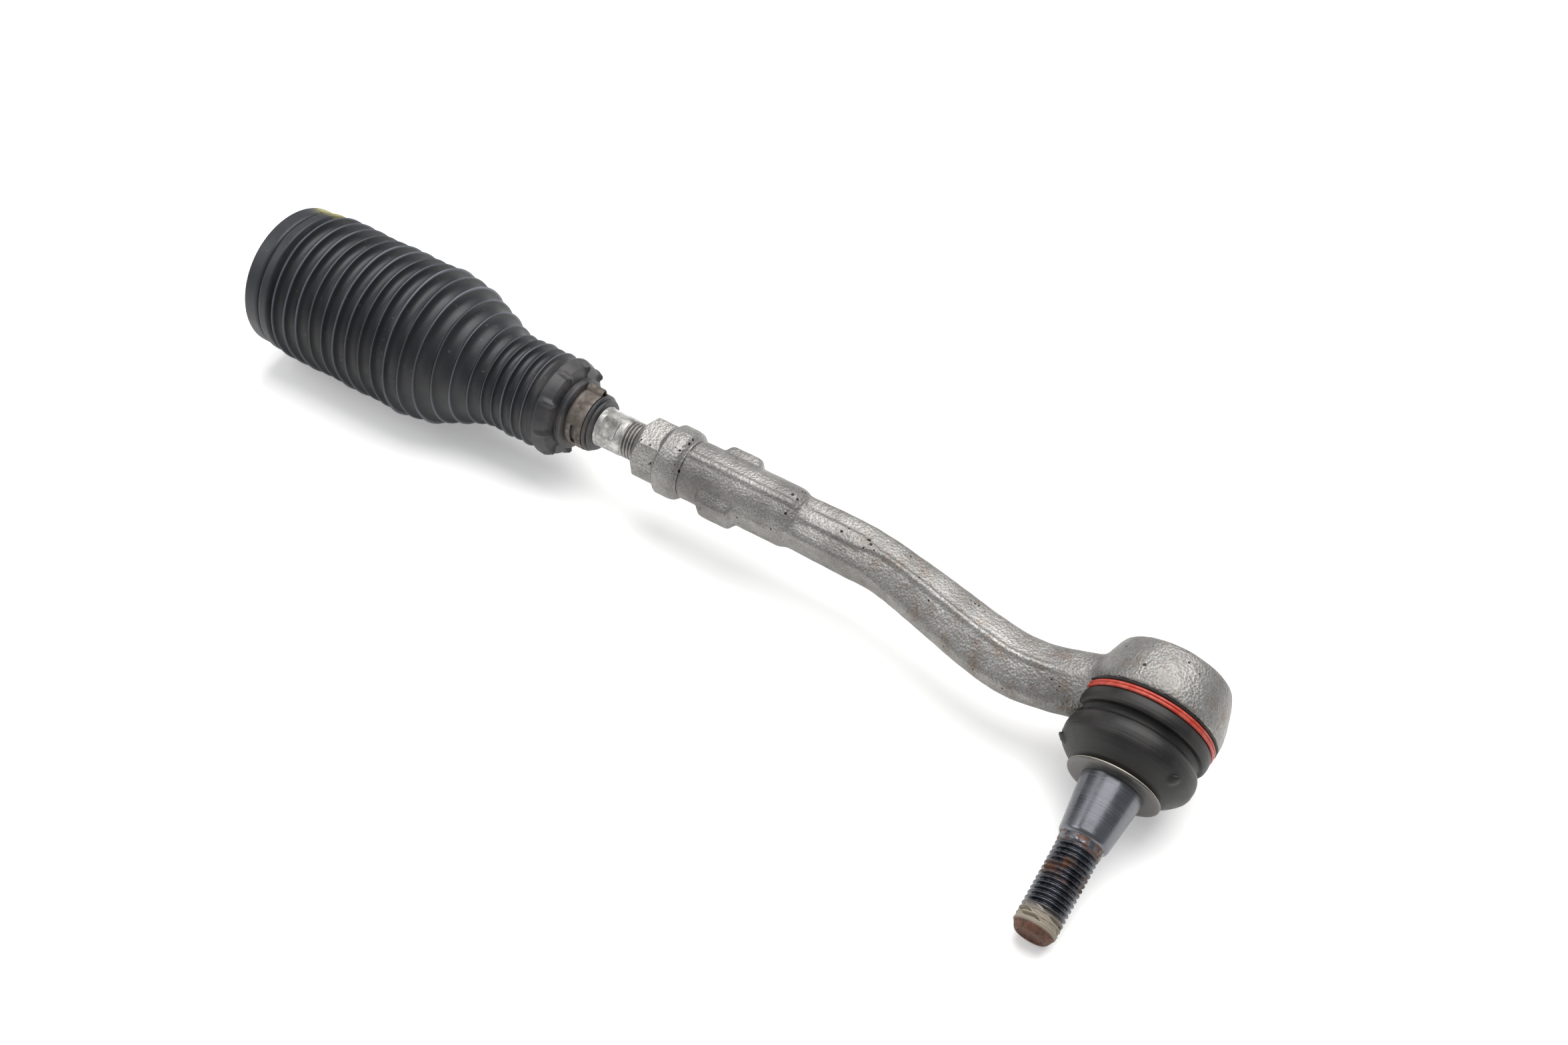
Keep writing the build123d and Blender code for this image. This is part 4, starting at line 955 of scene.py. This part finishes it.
def wound_ring(name):
    """A round section carried along a two-turn helix, closed by a small dome at each end."""
    travel = np.linspace(-0.5, 0.5, 420)[:, None]
    bend = 2 * np.pi * ring_turns * travel + math.radians(200)
    along = ring_middle + 1.24 * (np.tanh(travel * 26) * 0.5)
    around = np.linspace(0, 2 * np.pi, 18, endpoint=False)[None, :]
    taper = np.sqrt(np.clip(1 - ((np.abs(travel) - 0.4975) / 0.0025).clip(0, 1) ** 2, 0, 1))
    radius = ring_radius + wire_radius * taper * np.cos(around)
    level = along + wire_radius * taper * np.sin(around)
    points = ball_centre + mm * (
        level[..., None] * along_stud
        + (radius * np.cos(bend))[..., None] * along_rod
        + (radius * np.sin(bend))[..., None] * np.cross(along_stud, along_rod))
    return skin_from_grid(name, points, False)


clamp_ring = wound_ring("boot_clamp_wire")
# Epoxy powder coat over spring steel: satin red, rubbed paler on the outside of each turn.
red_coat, tree, shader = begin_material("red_powder_coated_wire")
coordinates = add(tree, "ShaderNodeTexCoord").outputs["Object"]
rubs = add(tree, "ShaderNodeTexNoise", {"Vector": coordinates, "Scale": 240.0, "Detail": 5.0,
    "Roughness": 0.6}).outputs["Fac"]
rub_share = add(tree, "ShaderNodeMapRange", {"Value": rubs, "From Min": 0.45, "From Max": 0.68,
    "To Max": 0.6}).outputs[0]
tree.links.new(add(tree, "ShaderNodeMix", {0: rub_share, 6: linear(coating_red), 7: linear(coating_worn)},
    data_type="RGBA").outputs[2], shader.inputs["Base Color"])
tree.links.new(add(tree, "ShaderNodeMapRange", {"Value": rubs, "To Min": 0.3, "To Max": 0.55}).outputs[0],
    shader.inputs["Roughness"])
clamp_ring.data.materials.append(red_coat)
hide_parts("boot_clamp_ring")
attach(clamp_ring, "outer_end")


# ---- Stud disc ------------------------------------------------------------------------------
# A thin pressed steel washer on the stud's shoulder. Its rim turns up a little towards the boot,
# and grease has dried cream-white along the rim.

disc_outline = soft_profile([
    (33.0, 10.9), (32.95, 14.0), (32.85, 16.0), (32.55, 17.4), (32.6, 17.75), (33.0, 17.8), (33.55, 17.55),
    (33.8, 16.2), (33.88, 14.0), (33.9, 10.9)], 0.15, 0.3)


def disc_marks(along, radius, angle):
    """Lip is 1 on the turned-up rim, where the grease has dried."""
    return {"lip": np.clip((32.95 - along) / 0.25, 0, 1) * (radius > 15.5)}


stud_disc = turned_piece(
    "stud_disc_pressed", disc_outline, 160, ball_centre, along_stud, along_rod,
    wrap=True, sharp=70, marks=disc_marks)
# Pressed and polished strip steel: satin grey, marked, with a pale line of dried grease on the lip.
disc_steel, tree, shader = begin_material("pressed_strip_steel")
coordinates = add(tree, "ShaderNodeTexCoord").outputs["Object"]
lip = add(tree, "ShaderNodeAttribute", attribute_name="lip").outputs["Fac"]
marks_noise = add(tree, "ShaderNodeTexNoise", {"Vector": coordinates, "Scale": 200.0, "Detail": 6.0,
    "Roughness": 0.65}).outputs["Fac"]
plate = add(tree, "ShaderNodeMix", {0: marks_noise, 6: linear("#4A4947"), 7: linear("#7A7875")},
    data_type="RGBA").outputs[2]
plate = add(tree, "ShaderNodeMix", {0: lip, 6: plate, 7: linear("#D8D0BC")}, data_type="RGBA").outputs[2]
tree.links.new(plate, shader.inputs["Base Color"])
tree.links.new(add(tree, "ShaderNodeMapRange", {"Value": marks_noise, "From Min": 0.3, "From Max": 0.7,
    "To Min": 0.34, "To Max": 0.55}).outputs[0], shader.inputs["Roughness"])
tree.links.new(add(tree, "ShaderNodeMapRange", {"Value": lip, "To Min": 0.9, "To Max": 0.1}).outputs[0],
    shader.inputs["Metallic"])
stud_disc.data.materials.append(disc_steel)
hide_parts("stud_disc")
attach(stud_disc, "stud")


# ---- Ball stud ------------------------------------------------------------------------------
# Alloy steel, cold-headed, with a ground taper and a rolled M16 x 2 thread. The taper is bright,
# the bare shank and the tip have rusted, and old sealant clings to the last turns of thread.

stud_pitch, stud_thread_radius, stud_thread_depth = 2.0, 8.0, 1.15
stud_thread_start, stud_thread_end, stud_tip = 59.5, 91.1, 94.4
ball_radius, stud_neck = 13.0, 7.0
head = np.linspace(np.pi, math.asin(stud_neck / ball_radius), 40)
stud_outline = np.vstack([
    np.column_stack([ball_radius * np.cos(head), ball_radius * np.sin(head)]),
    soft_profile([(11.5, stud_neck), (23.0, stud_neck), (30.4, 9.4), (32.8, 10.8), (33.9, 10.8),
    (33.92, 11.75)], 0.5, 0.6),
    soft_profile([(33.95, 11.8), (55.4, 9.35), (56.2, 9.0), (56.5, 8.5), (56.55, 8.2), (59.2, 8.15)], 0.25,
    0.5),
    even_run(59.4, 91.2, 0.12, stud_thread_radius),
    soft_profile([(91.3, 7.7), (93.6, 6.5), (94.1, 6.0), (stud_tip, 5.6), (stud_tip - 0.1, 5.2),
    (93.5, 4.2), (93.3, 0.0)], 0.25, 0.4)])


def stud_form(along, radius, angle):
    """Rolled thread that runs out at the shank, partly filled by sealant near the tip."""
    threaded = thread_form(along, radius, angle, stud_thread_start - 0.6, stud_thread_end + 0.4, stud_pitch,
        stud_thread_radius, stud_thread_depth)
    filled = np.clip((along - 84.0 - 1.2 * np.sin(angle * 2 + 0.5)) / 2.5, 0,
        1) * (0.5 + 0.5 * np.sin(angle * 3 + along * 0.9)) * (along < 92)
    lumps = 7.75 + 0.15 * np.sin(angle * 13 + along * 4) * np.sin(along * 3.1)
    return along, np.where(filled > 0.35, np.maximum(threaded, np.minimum(lumps, radius)), threaded)


def stud_marks(along, radius, angle):
    """Along is millimetres from the ball's centre; depth is how far a point lies in the thread."""
    return {"along": along, "depth": np.where((along > 59.4) & (along < 92), stud_thread_radius - radius,
        0.0)}


ball_stud = turned_piece("ball_stud_threaded", stud_outline, 128, ball_centre, along_stud, along_rod,
    shape=stud_form, sharp=45, marks=stud_marks)
# Ground alloy steel: dark and glossy with fine marks round the taper. Shank and tip carry orange
# to brown rust, the thread a blue-black phosphate skin, and grey-tan sealant fills the end.
stud_steel, tree, shader = begin_material("ground_alloy_steel_with_rust")
coordinates = add(tree, "ShaderNodeTexCoord").outputs["Object"]
station = add(tree, "ShaderNodeAttribute", attribute_name="along").outputs["Fac"]
depth = add(tree, "ShaderNodeAttribute", attribute_name="depth").outputs["Fac"]
patch = add(tree, "ShaderNodeTexNoise", {"Vector": coordinates, "Scale": 160.0, "Detail": 6.0,
    "Roughness": 0.65}).outputs["Fac"]
flecks = add(tree, "ShaderNodeTexNoise", {"Vector": coordinates, "Scale": 700.0, "Detail": 4.0,
    "Roughness": 0.6}).outputs["Fac"]
rings = add(tree, "ShaderNodeTexNoise",
    {"Vector": add(tree, "ShaderNodeCombineXYZ", {"X": station}).outputs[0], "Scale": 1.6, "Detail": 6.0,
    "Roughness": 0.7}).outputs["Fac"]
ground_tone = add(tree, "ShaderNodeMapRange", {"Value": rings, "From Min": 0.3, "From Max": 0.7}).outputs[0]
steel = add(tree, "ShaderNodeMix", {0: ground_tone, 6: linear("#5B5C60"), 7: linear("#74757A")},
    data_type="RGBA").outputs[2]
on_thread = add(tree, "ShaderNodeMapRange",
    {"Value": station, "From Min": 59.0, "From Max": 60.0}).outputs[0]
phosphate = add(tree, "ShaderNodeMix", {0: patch, 6: linear("#2E3036"), 7: linear("#5A5C62")},
    data_type="RGBA").outputs[2]
steel = add(tree, "ShaderNodeMix", {0: on_thread, 6: steel, 7: phosphate}, data_type="RGBA").outputs[2]
on_shank = add(tree, "ShaderNodeMapRange",
    {"Value": station, "From Min": 56.4, "From Max": 56.7}).outputs[0]
shank_rust = add(tree, "ShaderNodeMapRange",
    {"Value": station, "From Min": 61.0, "From Max": 59.5}).outputs[0]
shank_rust = add(tree, "ShaderNodeMath", {0: on_shank, 1: shank_rust}, operation="MULTIPLY").outputs[0]
shank_rust = add(tree, "ShaderNodeMath",
    {0: shank_rust, 1: add(tree, "ShaderNodeMapRange",
    {"Value": patch, "From Min": 0.44, "From Max": 0.52}).outputs[0]}, operation="MULTIPLY").outputs[0]
middle_rust = add(tree, "ShaderNodeMapRange",
    {"Value": add(tree, "ShaderNodeMath",
    {0: add(tree, "ShaderNodeMath", {0: station, 1: 70.0}, operation="SUBTRACT").outputs[0]},
    operation="ABSOLUTE").outputs[0], "From Min": 6.0, "From Max": 3.0}).outputs[0]
middle_rust = add(tree, "ShaderNodeMath",
    {0: middle_rust, 1: add(tree, "ShaderNodeMapRange",
    {"Value": patch, "From Min": 0.49, "From Max": 0.58}).outputs[0]}, operation="MULTIPLY").outputs[0]
tip_rust = add(tree, "ShaderNodeMapRange",
    {"Value": station, "From Min": 90.6, "From Max": 91.4}).outputs[0]
rust_share = add(tree, "ShaderNodeMath",
    {0: add(tree, "ShaderNodeMath", {0: shank_rust, 1: middle_rust}, operation="MAXIMUM").outputs[0],
    1: tip_rust}, operation="MAXIMUM").outputs[0]
rust = add(tree, "ShaderNodeMix",
    {0: add(tree, "ShaderNodeMapRange", {"Value": flecks, "From Min": 0.35, "From Max": 0.65}).outputs[0],
    6: linear("#38261D"), 7: linear("#66402C")}, data_type="RGBA").outputs[2]
steel = add(tree, "ShaderNodeMix", {0: rust_share, 6: steel, 7: rust}, data_type="RGBA").outputs[2]
seal_zone = add(tree, "ShaderNodeMapRange",
    {"Value": station, "From Min": 84.0, "From Max": 87.5}).outputs[0]
seal_zone = add(tree, "ShaderNodeMath",
    {0: seal_zone, 1: add(tree, "ShaderNodeMapRange",
    {"Value": station, "From Min": 91.8, "From Max": 91.2}).outputs[0]}, operation="MULTIPLY").outputs[0]
seal_share = add(tree, "ShaderNodeMath",
    {0: seal_zone, 1: add(tree, "ShaderNodeMapRange",
    {"Value": patch, "From Min": 0.30, "From Max": 0.36}).outputs[0]}, operation="MULTIPLY").outputs[0]
steel = add(tree, "ShaderNodeMix", {0: seal_share, 6: steel, 7: linear("#857C6E")},
    data_type="RGBA").outputs[2]
coated = add(tree, "ShaderNodeMath", {0: rust_share, 1: seal_share}, operation="MAXIMUM").outputs[0]
tree.links.new(steel, shader.inputs["Base Color"])
tree.links.new(add(tree, "ShaderNodeMapRange", {"Value": coated, "To Min": 0.95, "To Max": 0.1}).outputs[0],
    shader.inputs["Metallic"])
smooth_part = add(tree, "ShaderNodeMath", {0: rings, 1: patch}, operation="MULTIPLY").outputs[0]
smooth_part = add(tree, "ShaderNodeMapRange", {"Value": smooth_part, "From Min": 0.12, "From Max": 0.40,
    "To Min": 0.16, "To Max": 0.46}).outputs[0]
tree.links.new(add(tree, "ShaderNodeMath",
    {0: smooth_part, 1: add(tree, "ShaderNodeMath", {0: coated, 1: 0.4}, operation="MULTIPLY").outputs[0]},
    operation="ADD").outputs[0], shader.inputs["Roughness"])
skin_height = add(tree, "ShaderNodeMath", {0: flecks, 1: coated}, operation="MULTIPLY").outputs[0]
skin_height = add(tree, "ShaderNodeMath",
    {0: skin_height, 1: add(tree, "ShaderNodeMath", {0: rings, 1: 0.07}, operation="MULTIPLY").outputs[0]},
    operation="ADD").outputs[0]
tree.links.new(add(tree, "ShaderNodeBump", {"Height": skin_height, "Strength": 0.5,
    "Distance": 0.0003}).outputs[0], shader.inputs["Normal"])
ball_stud.data.materials.append(stud_steel)
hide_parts("ball_stud")
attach(ball_stud, "stud")


# ---- Floor, light and camera ----------------------------------------------------------------
# A pale seamless floor under the lowest point, lit by a broad soft light from above and behind
# and a weaker one from the left.

floor_mesh = bpy.data.meshes.new("studio_floor")
floor_level = float(cad_box[0][2]) - 0.0001
floor_mesh.from_pydata([(-6, -6, floor_level), (6, -6, floor_level), (6, 9, floor_level),
    (-6, 9, floor_level)], [], [(0, 1, 2, 3)])
floor = bpy.data.objects.new("studio_floor", floor_mesh)
bpy.context.scene.collection.objects.link(floor)
floor_paint, tree, shader = begin_material("matt_white_floor_paint")
coordinates = add(tree, "ShaderNodeTexCoord").outputs["Object"]
shade = add(tree, "ShaderNodeTexNoise", {"Vector": coordinates, "Scale": 5.0, "Detail": 3.0}).outputs["Fac"]
tree.links.new(add(tree, "ShaderNodeMix", {0: shade, 6: linear("#F3F3F1"), 7: linear("#EDECE9")},
    data_type="RGBA").outputs[2], shader.inputs["Base Color"])
shader.inputs["Roughness"].default_value = 0.7
shader.inputs["Emission Color"].default_value = (1.0, 1.0, 1.0, 1.0)
shader.inputs["Emission Strength"].default_value = 0.28
floor_mesh.materials.append(floor_paint)

world = bpy.data.worlds.new("studio_air")
bpy.context.scene.world = world
world.use_nodes = True
world.node_tree.nodes["Background"].inputs[0].default_value = (0.93, 0.95, 1.0, 1.0)
world.node_tree.nodes["Background"].inputs[1].default_value = 0.42


def softbox(name, place, aim, size, watts):
    """A square area light at place that looks at aim."""
    lamp = bpy.data.lights.new(name, "AREA")
    lamp.size = size
    lamp.energy = watts
    light = bpy.data.objects.new(name, lamp)
    place, aim = np.array(place, float), np.array(aim, float)
    back = (place - aim) / np.linalg.norm(place - aim)
    right = np.cross([0, 1, 0] if abs(back[2]) > 0.9 else [0, 0, 1], back)
    right /= np.linalg.norm(right)
    up = np.cross(back, right)
    light.matrix_world = Matrix([[*row, value] for row,
        value in zip(np.column_stack([right, up, back]).tolist(), place.tolist())] + [[0, 0, 0, 1]])
    bpy.context.scene.collection.objects.link(light)


softbox("overhead_softbox", (-0.1, 0.5, 1.5), (-0.2, 0, 0), 1.6, 42)
softbox("left_softbox", (-1.3, -0.5, 1.0), (-0.2, 0, 0), 0.8, 6)

camera_right = (0.8458, 0.5316, 0.0454)
camera_down = (0.4157, -0.6033, -0.6806)
camera_ahead = (-0.3345, 0.5945, -0.7313)
camera_place = (0.0693, -0.3998, 0.4943)
lens = bpy.data.cameras.new("camera")
lens.sensor_width = 36.0
lens.lens = 40.35
lens.clip_start = 0.01
camera = bpy.data.objects.new("camera", lens)
camera.matrix_world = Matrix([
    [camera_right[k], -camera_down[k], -camera_ahead[k], camera_place[k]] for k in range(3)]
    + [[0, 0, 0, 1]])
bpy.context.scene.collection.objects.link(camera)
bpy.context.scene.camera = camera
bpy.context.scene.view_settings.view_transform = "Standard"
